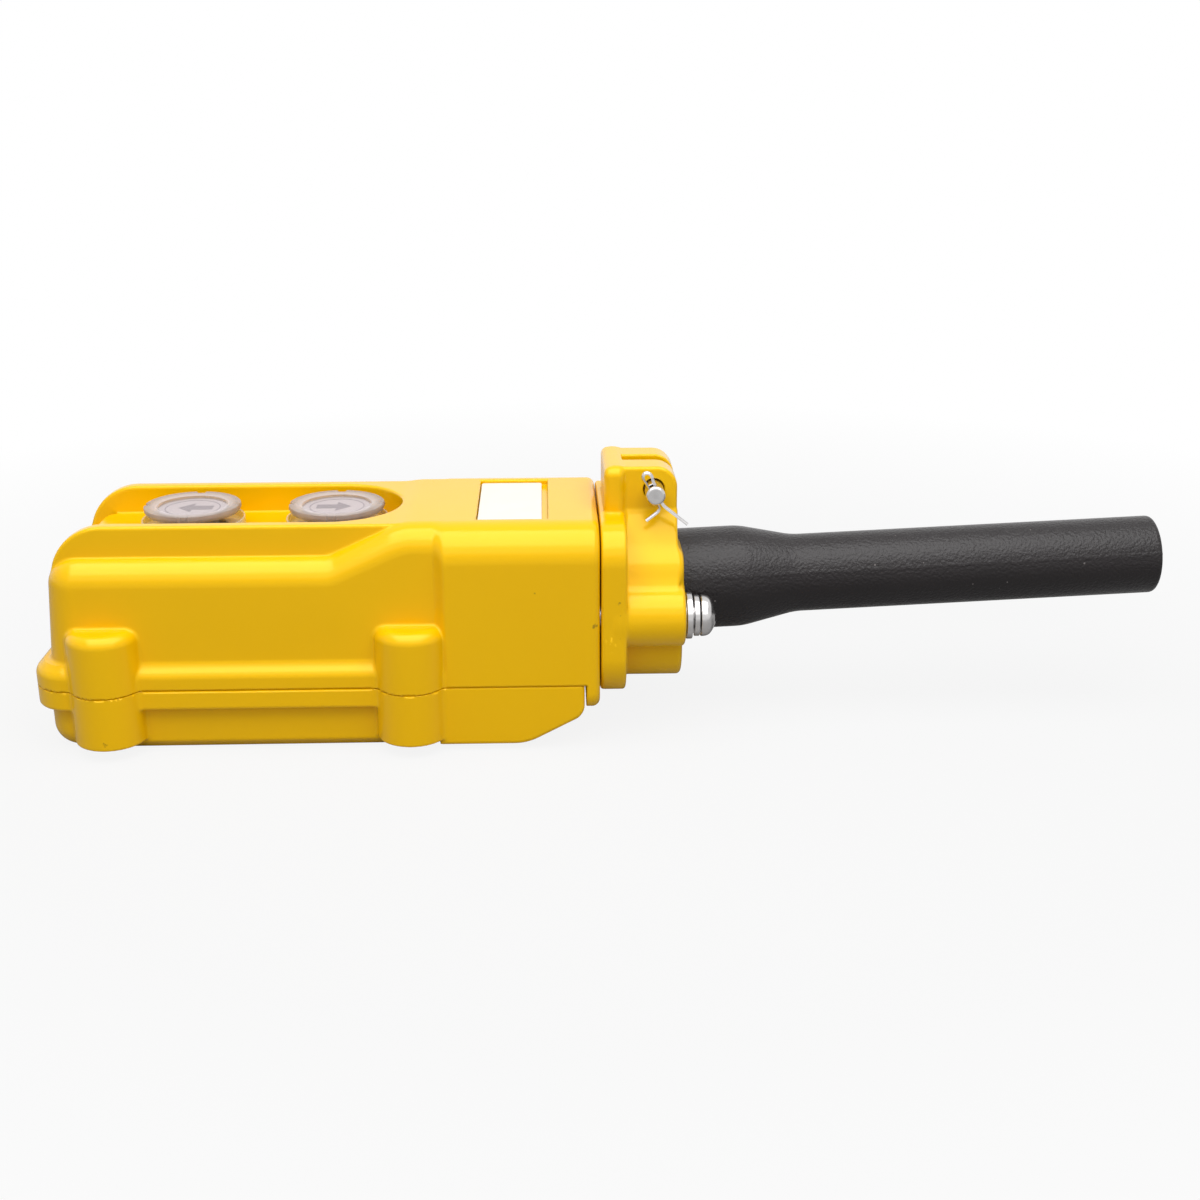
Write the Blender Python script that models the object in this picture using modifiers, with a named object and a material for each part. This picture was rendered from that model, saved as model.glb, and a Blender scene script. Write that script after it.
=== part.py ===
"""Two-button pendant control station.

A moulded housing and rear cover hold the push buttons and their contact block. The cable cap
carries a rubber boot and a hanger lug with its pin and cotter. The station lies on its back:
+X runs from the button end to the boot, +Z is the button side, and the origin is under the
middle of the overall length at the height of the back face.
"""
import math

import bmesh
import bpy
from mathutils import Matrix, Vector

MM = 0.001

# Lengths along X
RIM_OVERHANG = 4.9 * MM
BODY_LENGTH = 101.1 * MM
NECK_LENGTH = 40.8 * MM
FLANGE_THICKNESS = 6.6 * MM
CAP_DEPTH = 15.35 * MM
BOOT_REACH = 129.75 * MM

# Heights of the two shells
SPLIT_Z = 17.4 * MM
SHOULDER_Z = 51.3 * MM
RAMP_TOP_Z = 59.5 * MM
WALL_TOP_Z = 59.2 * MM
NECK_TOP_Z = 59.7 * MM
CHANNEL_FLOOR_Z = 51.7 * MM
RIM_TOP_Z = 23.7 * MM
RIM_BOTTOM_Z = 12.2 * MM
TAB_BOTTOM_Z = 10.4 * MM
NECK_BASE_Z = 1.5 * MM

# Half widths and wall thicknesses of the shells
BODY_HALF = 27.0 * MM
NECK_HALF = 29.7 * MM
RIM_HALF = 29.3 * MM
COVER_HALF = 26.5 * MM
SHELL_WALL = 3.0 * MM
END_WALL = 3.5 * MM
COVER_END_GAP = 0.5 * MM
COVER_TAPER = 15.0 * MM
COVER_TAPER_RISE = 7.8 * MM
COVER_TAPER_ROUND = 5.0 * MM
COVER_OVERHANG = 1.5 * MM
END_DRAFT = 1.6 * MM

# Rounded edges of the shells
BODY_CORNER = 8.0 * MM
SHOULDER_ROUND = 7.0 * MM
NECK_ROUND = 8.5 * MM
RIM_CORNER = 13.0 * MM
RIM_ROUND = 2.0 * MM
COVER_CHAMFER = 2.4 * MM
COVER_NECK_ROUND = 1.0 * MM
TAPER_FOOT_ROUND = 3.2 * MM
TAB_ROUND = 5.0 * MM

# Clearances, and how far a cutting or joining shape runs past the face it meets
CLEAR = 0.3 * MM
JOINT_LINE = 0.3 * MM
OVERCUT = 1.0 * MM
OFFSET = 0.1 * MM
TOUCH = 0.01 * MM
WELD = 0.001 * MM

# Finger channel and the ramp up to the neck
CHANNEL_HALF = 17.9 * MM
CHANNEL_WALL = 3.7 * MM
CHANNEL_TO_NECK = 11.0 * MM
CHANNEL_INSET = 2.3 * MM
CHANNEL_NOSE = 13.8 * MM
RAMP_FOOT_TO_NECK = 28.2 * MM
RAMP_HEAD_TO_NECK = 10.0 * MM

# Cover screw bosses
BOSS_RADIUS = 9.3 * MM
BOSS_Y = 25.5 * MM
BOSS_FIRST = 14.9 * MM
BOSS_LAST = 8.0 * MM
BOSS_BOTTOM_Z = 3.2 * MM
BOSS_TOP_Z = 33.8 * MM
BOSS_ROUND = 2.5 * MM
COVER_SCREW_RADIUS = 2.0 * MM
COVER_HEAD_RADIUS = 3.6 * MM
COVER_HEAD_HEIGHT = 2.5 * MM
COVER_SEAT_Z = 8.4 * MM
INSERT_RADIUS = 3.3 * MM
INSERT_LENGTH = 9.5 * MM
SCREW_TIP_ROOM = 2.5 * MM

# Gasket between the two shells
GASKET_THICKNESS = 1.0 * MM
GASKET_LIP = 1.3 * MM
GASKET_PAD = 6.2 * MM

# Label recess on the neck
LABEL_LENGTH = 18.4 * MM
LABEL_WIDTH = 38.5 * MM
LABEL_DEPTH = 1.6 * MM
LABEL_MARGIN = 13.0 * MM
PLATE_LENGTH = 16.5 * MM
PLATE_THICKNESS = 0.5 * MM

# Push buttons
BUTTON_LAST = 28.2 * MM
BUTTON_PITCH = 38.05 * MM
BUTTON_TRAVEL = 3.5 * MM
LENS_RADIUS = 12.65 * MM
LENS_TOP_Z = 59.1 * MM
LENS_THICKNESS = 2.0 * MM
LENS_ROUND = 0.5 * MM
LEGEND_RADIUS = 9.0 * MM
LEGEND_THICKNESS = 0.6 * MM
STEM_RADIUS = 6.7 * MM
COLLAR_RADIUS = 13.5 * MM
COLLAR_FLANGE = 1.2 * MM
COLLAR_SLEEVE = 10.2 * MM
COLLAR_DROP = 3.0 * MM
SEAL_WIDTH = 1.6 * MM
SEAL_HEIGHT = 4.0 * MM
RETAINER_RADIUS = 9.0 * MM
RETAINER_HEIGHT = 2.0 * MM
NOSE_RADIUS = 2.5 * MM
NOSE_LENGTH = 8.4 * MM

# Contact block under the buttons
BRIDGE_SPAN = 25.0 * MM
BRIDGE_WIDTH = 8.0 * MM
BRIDGE_THICKNESS = 1.2 * MM
CONTACT_THICKNESS = 1.5 * MM
CONTACT_WIDTH = 7.0 * MM
CONTACT_REACH = 9.0 * MM
BASE_HALF = 16.5 * MM
BASE_MARGIN = 9.6 * MM
BASE_THICKNESS = 9.0 * MM
SPRING_WIRE = 0.4 * MM
SPRING_RADIUS = 4.6 * MM
SPRING_TURNS = 3.5
SPRING_SEAT_DEPTH = 2.5 * MM
POST_RADIUS = 4.0 * MM
POST_Y = 12.0 * MM
BASE_SCREW_RADIUS = 1.75 * MM
BASE_SCREW_GRIP = 9.0 * MM
TERMINAL_Y = 13.0 * MM
TERMINAL_RADIUS = 1.5 * MM
TERMINAL_DEPTH = 6.0 * MM
SMALL_HEAD_RADIUS = 3.2 * MM
SMALL_HEAD_HEIGHT = 2.0 * MM

# Cable cap with its hanger lug
AXIS_Z = 36.0 * MM
FLANGE_HALF = 29.0 * MM
FLANGE_BOTTOM_Z = 12.5 * MM
FLANGE_TOP_Z = 59.0 * MM
FLANGE_LOWER_ROUND = 12.0 * MM
FLANGE_UPPER_ROUND = 10.0 * MM
CAP_HALF = 20.0 * MM
CAP_BOTTOM_Z = 13.7 * MM
CAP_CORNER = 10.0 * MM
CAP_SET_BACK = 0.25 * MM
CAP_ROUND = 1.2 * MM
CAP_SCREW_Y = 20.7 * MM
CAP_SCREW_Z = 33.5 * MM
CAP_BOSS_RADIUS = 8.0 * MM
LUG_HALF = 13.0 * MM
LUG_TOP_Z = 71.0 * MM
LUG_ROUND = 2.5 * MM
LUG_SET_BACK = 1.3 * MM
EAR_HALF = 11.0 * MM
EAR_DROP = 0.2 * MM
EAR_ROUND = 5.0 * MM
EAR_SET_BACK = 1.5 * MM
EAR_ROOT_HALF = 17.5 * MM
EAR_ROOT_RISE = 13.5 * MM
SLOT_HALF = 2.5 * MM
SLOT_BELOW_PIN = 6.5 * MM

# Cap screws with their washers and nuts
CAP_SCREW_RADIUS = 3.0 * MM
CAP_HEAD_RADIUS = 5.45 * MM
CAP_HEAD_HEIGHT = 4.3 * MM
WASHER_RADIUS = 6.1 * MM
WASHER_THICKNESS = 1.6 * MM
SPRING_WASHER_RADIUS = 5.4 * MM
SPRING_WASHER_SPLIT = 1.2 * MM
NUT_RADIUS = 5.6 * MM
NUT_THICKNESS = 5.0 * MM

# Hanger pin and its cotter
PIN_RADIUS = 2.5 * MM
PIN_X = 7.7 * MM
PIN_DROP = 5.8 * MM
PIN_NEAR = 7.5 * MM
PIN_HEAD_RADIUS = 4.5 * MM
PIN_HEAD_HEIGHT = 2.2 * MM
PIN_CHAMFER = 0.4 * MM
COTTER_WIRE = 0.42 * MM
COTTER_FROM_TIP = 2.5 * MM
COTTER_TILT = 25.0
COTTER_EYE = 1.5 * MM
COTTER_LEG_LONG = 8.6 * MM
COTTER_LEG_SHORT = 5.0 * MM
COTTER_NECK = 0.7 * MM
COTTER_BEND = 0.8 * MM
COTTER_SPREAD_LONG = 26.0
COTTER_SPREAD_SHORT = 77.0

# Rubber cable boot
BOOT_ROOT_RADIUS = 13.7 * MM
BOOT_ROOT_REACH = 16.8 * MM
BOOT_TAPER = 14.4 * MM
BOOT_KNEE = 1.2 * MM
BOOT_SLEEVE_RADIUS = 10.5 * MM
BOOT_BORE = 7.5 * MM
BOOT_FLANGE_RADIUS = 16.8 * MM
BOOT_FLANGE = 5.0 * MM
BOOT_RISE = 2.5
BOOT_END_ROUND = 2.0 * MM
BOOT_FIT = 0.7 * MM

# Cord clamp inside the neck
CLAMP_FROM_END = 22.0 * MM
CLAMP_Y = 16.0 * MM
CLAMP_POST_Z = 41.5 * MM
CLAMP_WIDTH = 10.0 * MM
CLAMP_THICKNESS = 1.5 * MM
CLAMP_ARCH = 8.5 * MM
CLAMP_EAR = 4.5 * MM

# Screw heads, as shares of their own radius and height
HEAD_FLAT = 0.45
HEAD_CROWN = 0.75
RECESS_ARM = 0.58
RECESS_BLADE = 0.13
RECESS_DEPTH = 0.55

# Facets of round pieces
FINE_SIDES = 32
ROUND_SIDES = 24
HIDDEN_SIDES = 16
SMALL_SIDES = 12
CORNER_STEPS = 4
EDGE_STEPS = 3
SPRING_STEPS = 10
EYE_STEPS = 14
ARCH_STEPS = 8
TIP_STEPS = 4
SHARP_ANGLE = 35.0
FLAT_ANGLE = 0.5
LEVEL = 0.5

# Stations along X worked out from the lengths
OVERALL_LENGTH = (RIM_OVERHANG + BODY_LENGTH + NECK_LENGTH + JOINT_LINE
                  + FLANGE_THICKNESS + CAP_DEPTH + BOOT_REACH)
X_RIM = -OVERALL_LENGTH / 2
X_BODY = X_RIM + RIM_OVERHANG
X_NECK = X_BODY + BODY_LENGTH
X_END = X_NECK + NECK_LENGTH
X_INNER_END = X_END - END_WALL
X_COVER_END = X_INNER_END - COVER_END_GAP
X_FLANGE = X_END + JOINT_LINE
X_CAP = X_FLANGE + FLANGE_THICKNESS
X_CAP_END = X_CAP + CAP_DEPTH
X_BOOT_END = X_CAP_END + BOOT_REACH
X_PIN = X_CAP + PIN_X
X_CHANNEL_END = X_NECK - CHANNEL_TO_NECK
BUTTON_X = [X_NECK - BUTTON_LAST - i * BUTTON_PITCH for i in (1, 0)]
BOSSES = [(x, side * BOSS_Y) for x in (X_BODY + BOSS_FIRST, X_NECK - BOSS_LAST)
          for side in (-1, 1)]
X_CLAMP = X_END - CLAMP_FROM_END

# Heights worked out from the top of the lug and from the button stack
EAR_TOP_Z = LUG_TOP_Z - EAR_DROP
PIN_Z = EAR_TOP_Z - PIN_DROP
SLOT_FLOOR_Z = PIN_Z - SLOT_BELOW_PIN
HOUSING_FACE_Z = SPLIT_Z + JOINT_LINE / 2
COVER_FACE_Z = SPLIT_Z - JOINT_LINE / 2
LENS_BOTTOM_Z = LENS_TOP_Z - LENS_THICKNESS
COLLAR_SEAT_Z = CHANNEL_FLOOR_Z + CLEAR
COLLAR_BOTTOM_Z = CHANNEL_FLOOR_Z - SHELL_WALL - COLLAR_DROP
RETAINER_TOP_Z = COLLAR_BOTTOM_Z - CLEAR
RETAINER_BOTTOM_Z = RETAINER_TOP_Z - RETAINER_HEIGHT
BRIDGE_TOP_Z = RETAINER_BOTTOM_Z - CLEAR
BRIDGE_BOTTOM_Z = BRIDGE_TOP_Z - BRIDGE_THICKNESS
CONTACT_TOP_Z = BRIDGE_BOTTOM_Z - BUTTON_TRAVEL - CLEAR
BASE_TOP_Z = CONTACT_TOP_Z - CONTACT_THICKNESS - CLEAR
BASE_BOTTOM_Z = BASE_TOP_Z - BASE_THICKNESS
CONTACT_BOTTOM_Z = BASE_BOTTOM_Z - CLEAR - CONTACT_THICKNESS
ROOF_Z = CHANNEL_FLOOR_Z - SHELL_WALL

# Frames that carry an outline drawn in (u, v) and pulled along w
PLAN = Matrix.Identity(4)
SIDE = Matrix(((1, 0, 0, 0), (0, 0, -1, 0), (0, 1, 0, 0), (0, 0, 0, 1)))
END = Matrix(((0, 0, 1, 0), (1, 0, 0, 0), (0, 1, 0, 0), (0, 0, 0, 1)))


def clear_scene():
    for obj in list(bpy.data.objects):
        bpy.data.objects.remove(obj, do_unlink=True)


def collection(name):
    group = bpy.data.collections.new(name)
    bpy.context.scene.collection.children.link(group)
    return group


def material(name, colour, roughness, metallic=0.0, alpha=1.0):
    mat = bpy.data.materials.new(name)
    mat.use_nodes = True
    shader = mat.node_tree.nodes["Principled BSDF"]
    shader.inputs["Base Color"].default_value = (*colour, 1.0)
    shader.inputs["Roughness"].default_value = roughness
    shader.inputs["Metallic"].default_value = metallic
    shader.inputs["Alpha"].default_value = alpha
    return mat


clear_scene()
PARTS = collection("pendant_control_station")
TOOLS = collection("cutters")
YELLOW = material("yellow_abs", (0.80, 0.48, 0.005), 0.3)
RUBBER = material("black_rubber", (0.015, 0.015, 0.016), 0.75)
STEEL = material("zinc_plated_steel", (0.62, 0.62, 0.60), 0.3, metallic=1.0)
BRASS = material("brass", (0.60, 0.42, 0.14), 0.35, metallic=1.0)
CLEAR_PLASTIC = material("clear_acrylic", (0.80, 0.78, 0.78), 0.1, alpha=0.5)
LEGEND = material("lilac_legend", (0.52, 0.49, 0.54), 0.5)
WHITE = material("white_plate", (0.85, 0.85, 0.83), 0.4)
PHENOLIC = material("brown_phenolic", (0.05, 0.03, 0.02), 0.5)
NYLON = material("grey_nylon", (0.30, 0.30, 0.31), 0.5)


def add_object(name, mesh, finish=None):
    obj = bpy.data.objects.new(name, mesh)
    PARTS.objects.link(obj)
    if finish is not None:
        mesh.materials.append(finish)
    return obj


def shade(mesh):
    mesh.shade_smooth()
    mesh.set_sharp_from_angle(angle=math.radians(SHARP_ANGLE))


def mesh_object(name, bm, finish=None):
    bmesh.ops.recalc_face_normals(bm, faces=bm.faces)
    mesh = bpy.data.meshes.new(name)
    bm.to_mesh(mesh)
    bm.free()
    shade(mesh)
    return add_object(name, mesh, finish)


def rounded(corners):
    """Outline through (u, v, radius) corners, each radius drawn as an arc."""
    outline = []
    for i, (u, v, radius) in enumerate(corners):
        point = Vector((u, v))
        before = (Vector(corners[i - 1][:2]) - point).normalized()
        after = (Vector(corners[(i + 1) % len(corners)][:2]) - point).normalized()
        if radius <= 0:
            outline.append((u, v))
            continue
        half = before.angle(after) / 2
        centre = point + (before + after).normalized() * radius / math.sin(half)
        start = point + before * radius / math.tan(half) - centre
        sweep = start.angle_signed(point + after * radius / math.tan(half) - centre)
        for k in range(CORNER_STEPS + 1):
            turn = Matrix.Rotation(-sweep * k / CORNER_STEPS, 2)
            outline.append(tuple(centre + turn @ start))
    return outline


def box_outline(u0, u1, v0, v1, radius=0.0):
    return rounded([(u0, v0, radius), (u1, v0, radius), (u1, v1, radius), (u0, v1, radius)])


def curve_mesh(name, curve):
    """Closed mesh of a curve, with its caps welded."""
    holder = bpy.data.objects.new(name, curve)
    PARTS.objects.link(holder)
    graph = bpy.context.evaluated_depsgraph_get()
    mesh = bpy.data.meshes.new_from_object(holder.evaluated_get(graph))
    bpy.data.objects.remove(holder, do_unlink=True)
    bm = bmesh.new()
    bm.from_mesh(mesh)
    bpy.data.meshes.remove(mesh)
    bmesh.ops.remove_doubles(bm, verts=bm.verts, dist=WELD)
    return bm


def prism(name, outline, low, high, frame=PLAN, rounds=(), finish=None):
    """Outline pulled from low to high along the frame's third axis.

    Each entry of rounds is (radius, test, steps): edges whose middle passes the test are rounded
    in so many steps, and one step makes a chamfer.
    """
    curve = bpy.data.curves.new(name, "CURVE")
    curve.dimensions = "2D"
    curve.fill_mode = "BOTH"
    curve.extrude = (high - low) / 2
    spline = curve.splines.new("POLY")
    spline.points.add(len(outline) - 1)
    for point, (u, v) in zip(spline.points, outline):
        point.co = (u, v, 0, 1)
    spline.use_cyclic_u = True
    bm = curve_mesh(name, curve)
    if rounds:
        bmesh.ops.dissolve_limit(
            bm, angle_limit=math.radians(FLAT_ANGLE), verts=bm.verts, edges=bm.edges)
    bmesh.ops.transform(bm, matrix=Matrix.Translation((0, 0, (low + high) / 2)), verts=bm.verts)
    bmesh.ops.transform(bm, matrix=frame, verts=bm.verts)
    for radius, test, steps in rounds:
        chosen = [e for e in bm.edges if test((e.verts[0].co + e.verts[1].co) / 2, e)]
        bmesh.ops.bevel(bm, geom=chosen, offset=radius, segments=steps, profile=0.5,
                        affect="EDGES", clamp_overlap=True)
    return mesh_object(name, bm, finish)


def box(name, low, high):
    bm = bmesh.new()
    bmesh.ops.create_cube(bm, size=1.0)
    size = Vector(high) - Vector(low)
    centre = (Vector(high) + Vector(low)) / 2
    bmesh.ops.transform(bm, matrix=Matrix.Translation(centre) @ Matrix.Diagonal((*size, 1)),
                        verts=bm.verts)
    return mesh_object(name, bm)


def rod(name, radius, start, end, sides=ROUND_SIDES, finish=None, round_end=0.0):
    """Solid cylinder from start to end; round_end rounds its far edge."""
    bm = bmesh.new()
    start, end = Vector(start), Vector(end)
    length = (end - start).length
    bmesh.ops.create_cone(bm, cap_ends=True, segments=sides, radius1=radius, radius2=radius,
                          depth=length)
    if round_end > 0:
        top = [e for e in bm.edges if min(v.co.z for v in e.verts) > length / 2 - WELD]
        bmesh.ops.bevel(bm, geom=top, offset=round_end, segments=4, profile=0.5, affect="EDGES")
    turn = Vector((0, 0, 1)).rotation_difference(end - start).to_matrix().to_4x4()
    bmesh.ops.transform(bm, matrix=Matrix.Translation((start + end) / 2) @ turn, verts=bm.verts)
    return mesh_object(name, bm, finish)


def turned(name, profile, sides, finish=None, ring=False):
    """Profile of (radius, height) points, top to bottom down the outer side, turned about Z."""
    mesh = bpy.data.meshes.new(name)
    links = [(i, i + 1) for i in range(len(profile) - 1)]
    if ring:
        links.append((len(profile) - 1, 0))
    mesh.from_pydata([(r, 0, z) for r, z in profile], links, [])
    obj = add_object(name, mesh, finish)
    screw = obj.modifiers.new("turn", "SCREW")
    screw.steps = sides
    screw.render_steps = sides
    screw.use_merge_vertices = True
    screw.merge_threshold = WELD
    screw.use_smooth_shade = True
    return obj


def wire(name, points, radius, finish=None, resolution=1):
    """Round wire along points, closed at both ends."""
    curve = bpy.data.curves.new(name, "CURVE")
    curve.dimensions = "3D"
    curve.bevel_depth = radius
    curve.bevel_resolution = resolution
    curve.use_fill_caps = True
    spline = curve.splines.new("POLY")
    spline.points.add(len(points) - 1)
    for point, place in zip(spline.points, points):
        point.co = (*place, 1)
    return mesh_object(name, curve_mesh(name, curve), finish)


def shelve(tool):
    """Keeps a cutting or joining shape out of the finished object."""
    PARTS.objects.unlink(tool)
    TOOLS.objects.link(tool)
    tool.hide_render = True
    tool.display_type = "WIRE"


def apply_tool(target, tool, operation):
    mod = target.modifiers.new(tool.name, "BOOLEAN")
    mod.operation = operation
    mod.object = tool
    mod.solver = "EXACT"
    if tool.name in PARTS.objects:
        shelve(tool)


def join(target, *tools):
    for tool in tools:
        apply_tool(target, tool, "UNION")


def cut(target, *tools):
    for tool in tools:
        apply_tool(target, tool, "DIFFERENCE")


def empty(name, place):
    obj = bpy.data.objects.new(name, None)
    obj.location = place
    PARTS.objects.link(obj)
    return obj


def hang(child, parent, place=(0, 0, 0), rotation=(0, 0, 0)):
    child.parent = parent
    child.location = place
    child.rotation_euler = rotation


def plan_outline(x0, x1, half, corner):
    """Plan of a shell that is rounded at the button end and square at the cable end."""
    return rounded([(x0, -half, corner), (x1, -half, 0), (x1, half, 0), (x0, half, corner)])


def pan_head_screw(name, radius, length, head_radius, head_height, sides=SMALL_SIDES,
                   finish=STEEL, steps=2, blades=1):
    """Screw along Z: its head stands on z = 0 and its shank runs down.

    One blade cuts a slot in the head, two cut a cross.
    """
    profile = [(0, head_height)]
    for k in range(1, steps + 1):
        angle = math.radians(90) * k / steps
        profile.append((head_radius * (HEAD_FLAT + (1 - HEAD_FLAT) * math.sin(angle)),
                        head_height * (1 - HEAD_CROWN * (1 - math.cos(angle)))))
    profile += [(head_radius, 0), (radius, 0), (radius, -length), (0, -length)]
    screw = turned(name, profile, sides, finish)
    arm = head_radius * RECESS_ARM
    blade = head_radius * RECESS_BLADE
    floor = head_height * (1 - RECESS_DEPTH)
    for k, (half_x, half_y) in enumerate(((arm, blade), (blade, arm))[:blades]):
        recess = box(f"{name}_recess_{k}", (-half_x, -half_y, floor),
                     (half_x, half_y, head_height + OVERCUT))
        recess.parent = screw
        cut(screw, recess)
    return screw


def front_housing():
    low = TAB_BOTTOM_Z - BODY_CORNER
    top = [(X_BODY, low, 0), (X_NECK + SHELL_WALL, low, 0), (X_NECK + SHELL_WALL, RAMP_TOP_Z, 0),
           (X_NECK - RAMP_HEAD_TO_NECK, RAMP_TOP_Z, BODY_CORNER),
           (X_NECK - RAMP_FOOT_TO_NECK, SHOULDER_Z, BODY_CORNER), (X_BODY + END_DRAFT, SHOULDER_Z, 0)]
    body = prism("front_housing", rounded(top), -BODY_HALF, BODY_HALF, SIDE, finish=YELLOW,
                 rounds=((BODY_CORNER, end_corner, EDGE_STEPS),
                         (SHOULDER_ROUND, shoulder_edge, EDGE_STEPS)))
    neck = prism("neck_block", box_outline(X_NECK, X_END, TAB_BOTTOM_Z, NECK_TOP_Z),
                 -NECK_HALF, NECK_HALF, SIDE,
                 rounds=((NECK_ROUND, neck_top_edge, EDGE_STEPS),
                         (TAB_ROUND, tab_edge, EDGE_STEPS)))
    x_wall = X_BODY + CHANNEL_INSET
    x_wall_end = X_CHANNEL_END + CHANNEL_WALL
    wall_root = WALL_TOP_Z - CHANNEL_NOSE - CHANNEL_WALL
    walls = prism("channel_walls",
                  rounded([(x_wall, wall_root, 0), (x_wall_end, wall_root, 0),
                           (x_wall_end, WALL_TOP_Z, 0), (x_wall, WALL_TOP_Z, CHANNEL_NOSE)]),
                  -CHANNEL_HALF - CHANNEL_WALL, CHANNEL_HALF + CHANNEL_WALL, SIDE)
    rim = prism("housing_rim", plan_outline(X_RIM, X_NECK + SHELL_WALL, RIM_HALF, RIM_CORNER),
                low, RIM_TOP_Z, rounds=((RIM_ROUND, lambda m, e: m.z > RIM_TOP_Z - TOUCH,
                                         EDGE_STEPS),))
    join(body, neck, walls, rim)
    x_in = X_BODY + SHELL_WALL
    half_in = BODY_HALF - SHELL_WALL
    cut(body,
        prism("body_cavity", plan_outline(x_in, X_INNER_END, half_in, BODY_CORNER - SHELL_WALL),
              low - OVERCUT, ROOF_Z),
        box("ramp_cavity", (X_CHANNEL_END + SHELL_WALL, -half_in, ROOF_Z - OVERCUT),
            (X_INNER_END, half_in, RAMP_TOP_Z - SHELL_WALL)),
        box("neck_cavity", (X_NECK + SHELL_WALL, SHELL_WALL - NECK_HALF, low - OVERCUT),
            (X_INNER_END, NECK_HALF - SHELL_WALL, NECK_TOP_Z - NECK_ROUND)))
    for k, (x, y) in enumerate(BOSSES):
        join(body,
             rod(f"housing_boss_{k}", BOSS_RADIUS, (x, y, low), (x, y, BOSS_TOP_Z),
                 round_end=BOSS_ROUND))
    join(body, *base_posts(), *clamp_posts())
    cut(body,
        box("below_split", (X_RIM - OVERCUT, -BOSS_Y * 2, low - 2 * OVERCUT),
            (X_INNER_END, BOSS_Y * 2, HOUSING_FACE_Z)))
    cut(body, prism("finger_channel", rounded([
        (X_RIM, -CHANNEL_HALF, 0), (X_CHANNEL_END, -CHANNEL_HALF, CHANNEL_HALF - TOUCH),
        (X_CHANNEL_END, CHANNEL_HALF, CHANNEL_HALF - TOUCH), (X_RIM, CHANNEL_HALF, 0)]),
        CHANNEL_FLOOR_Z, NECK_TOP_Z + OVERCUT))
    for k, x in enumerate(BUTTON_X):
        cut(body,
            rod(f"button_hole_{k}", COLLAR_SLEEVE + CLEAR, (x, 0, ROOF_Z - OVERCUT),
                (x, 0, NECK_TOP_Z)))
    cut(body,
        box("label_recess",
            (X_END - LABEL_MARGIN - LABEL_LENGTH, -LABEL_WIDTH / 2, NECK_TOP_Z - LABEL_DEPTH),
            (X_END - LABEL_MARGIN, LABEL_WIDTH / 2, NECK_TOP_Z + OVERCUT)))
    insert_top = HOUSING_FACE_Z + CLEAR * 2 + INSERT_LENGTH
    for k, (x, y) in enumerate(BOSSES):
        cut(body,
            rod(f"insert_pocket_{k}", INSERT_RADIUS + CLEAR, (x, y, SPLIT_Z - OVERCUT),
                (x, y, insert_top), SMALL_SIDES),
            rod(f"boss_bore_{k}", COVER_SCREW_RADIUS + CLEAR, (x, y, SPLIT_Z),
                (x, y, insert_top + SCREW_TIP_ROOM), SMALL_SIDES))
    for k, y in enumerate((-POST_Y, POST_Y)):
        cut(body,
            rod(f"post_bore_{k}", BASE_SCREW_RADIUS + CLEAR, (x_base_screw(), y, BASE_BOTTOM_Z),
                (x_base_screw(), y, BASE_TOP_Z + CLEAR * 2 + BASE_SCREW_GRIP), SMALL_SIDES))
    for k, y in enumerate((-CLAMP_Y, CLAMP_Y)):
        cut(body,
            rod(f"clamp_bore_{k}", BASE_SCREW_RADIUS + CLEAR, (X_CLAMP, y, CLAMP_POST_Z - OVERCUT),
                (X_CLAMP, y, CLAMP_POST_Z + BASE_SCREW_GRIP + CLEAR), SMALL_SIDES))
    cut(body,
        rod("cable_hole", BOOT_BORE + BOOT_FIT, (X_INNER_END - OVERCUT, 0, AXIS_Z),
            (X_END + OVERCUT, 0, AXIS_Z)))
    for k, y in enumerate((-CAP_SCREW_Y, CAP_SCREW_Y)):
        cut(body,
            rod(f"end_screw_hole_{k}", CAP_SCREW_RADIUS + CLEAR,
                (X_INNER_END - OVERCUT, y, CAP_SCREW_Z), (X_END + OVERCUT, y, CAP_SCREW_Z),
                SMALL_SIDES))
    return body


def shoulder_edge(middle, edge):
    """Top edges of the body that run round its outside."""
    lowest = min(v.co.z for v in edge.verts)
    outside = abs(middle.y) > BODY_HALF - OVERCUT or middle.x < X_BODY + END_DRAFT + BODY_CORNER
    flat = [abs(f.normal.z) > LEVEL for f in edge.link_faces]
    return lowest > SHOULDER_Z - TOUCH and outside and sum(flat) == 1


def end_corner(middle, edge):
    """Upright corner edges of the body at the button end."""
    upright = abs(edge.verts[0].co.z - edge.verts[1].co.z) > BODY_CORNER
    return upright and middle.x < X_BODY + END_DRAFT and abs(middle.y) > BODY_HALF - OVERCUT


def neck_top_edge(middle, edge):
    return middle.z > NECK_TOP_Z - OVERCUT and abs(middle.y) > NECK_HALF - OVERCUT


def tab_edge(middle, edge):
    return middle.z < TAB_BOTTOM_Z + OVERCUT and abs(middle.y) > NECK_HALF - OVERCUT


def x_base_screw():
    return (BUTTON_X[0] + BUTTON_X[1]) / 2


def base_posts():
    x = x_base_screw()
    return [rod(f"base_post_{k}", POST_RADIUS, (x, y, BASE_TOP_Z + CLEAR), (x, y, ROOF_Z + OVERCUT),
                SMALL_SIDES)
            for k, y in enumerate((-POST_Y, POST_Y))]


def clamp_posts():
    return [rod(f"clamp_post_{k}", POST_RADIUS, (X_CLAMP, y, CLAMP_POST_Z),
                (X_CLAMP, y, NECK_TOP_Z - SHELL_WALL), SMALL_SIDES)
            for k, y in enumerate((-CLAMP_Y, CLAMP_Y))]


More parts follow.
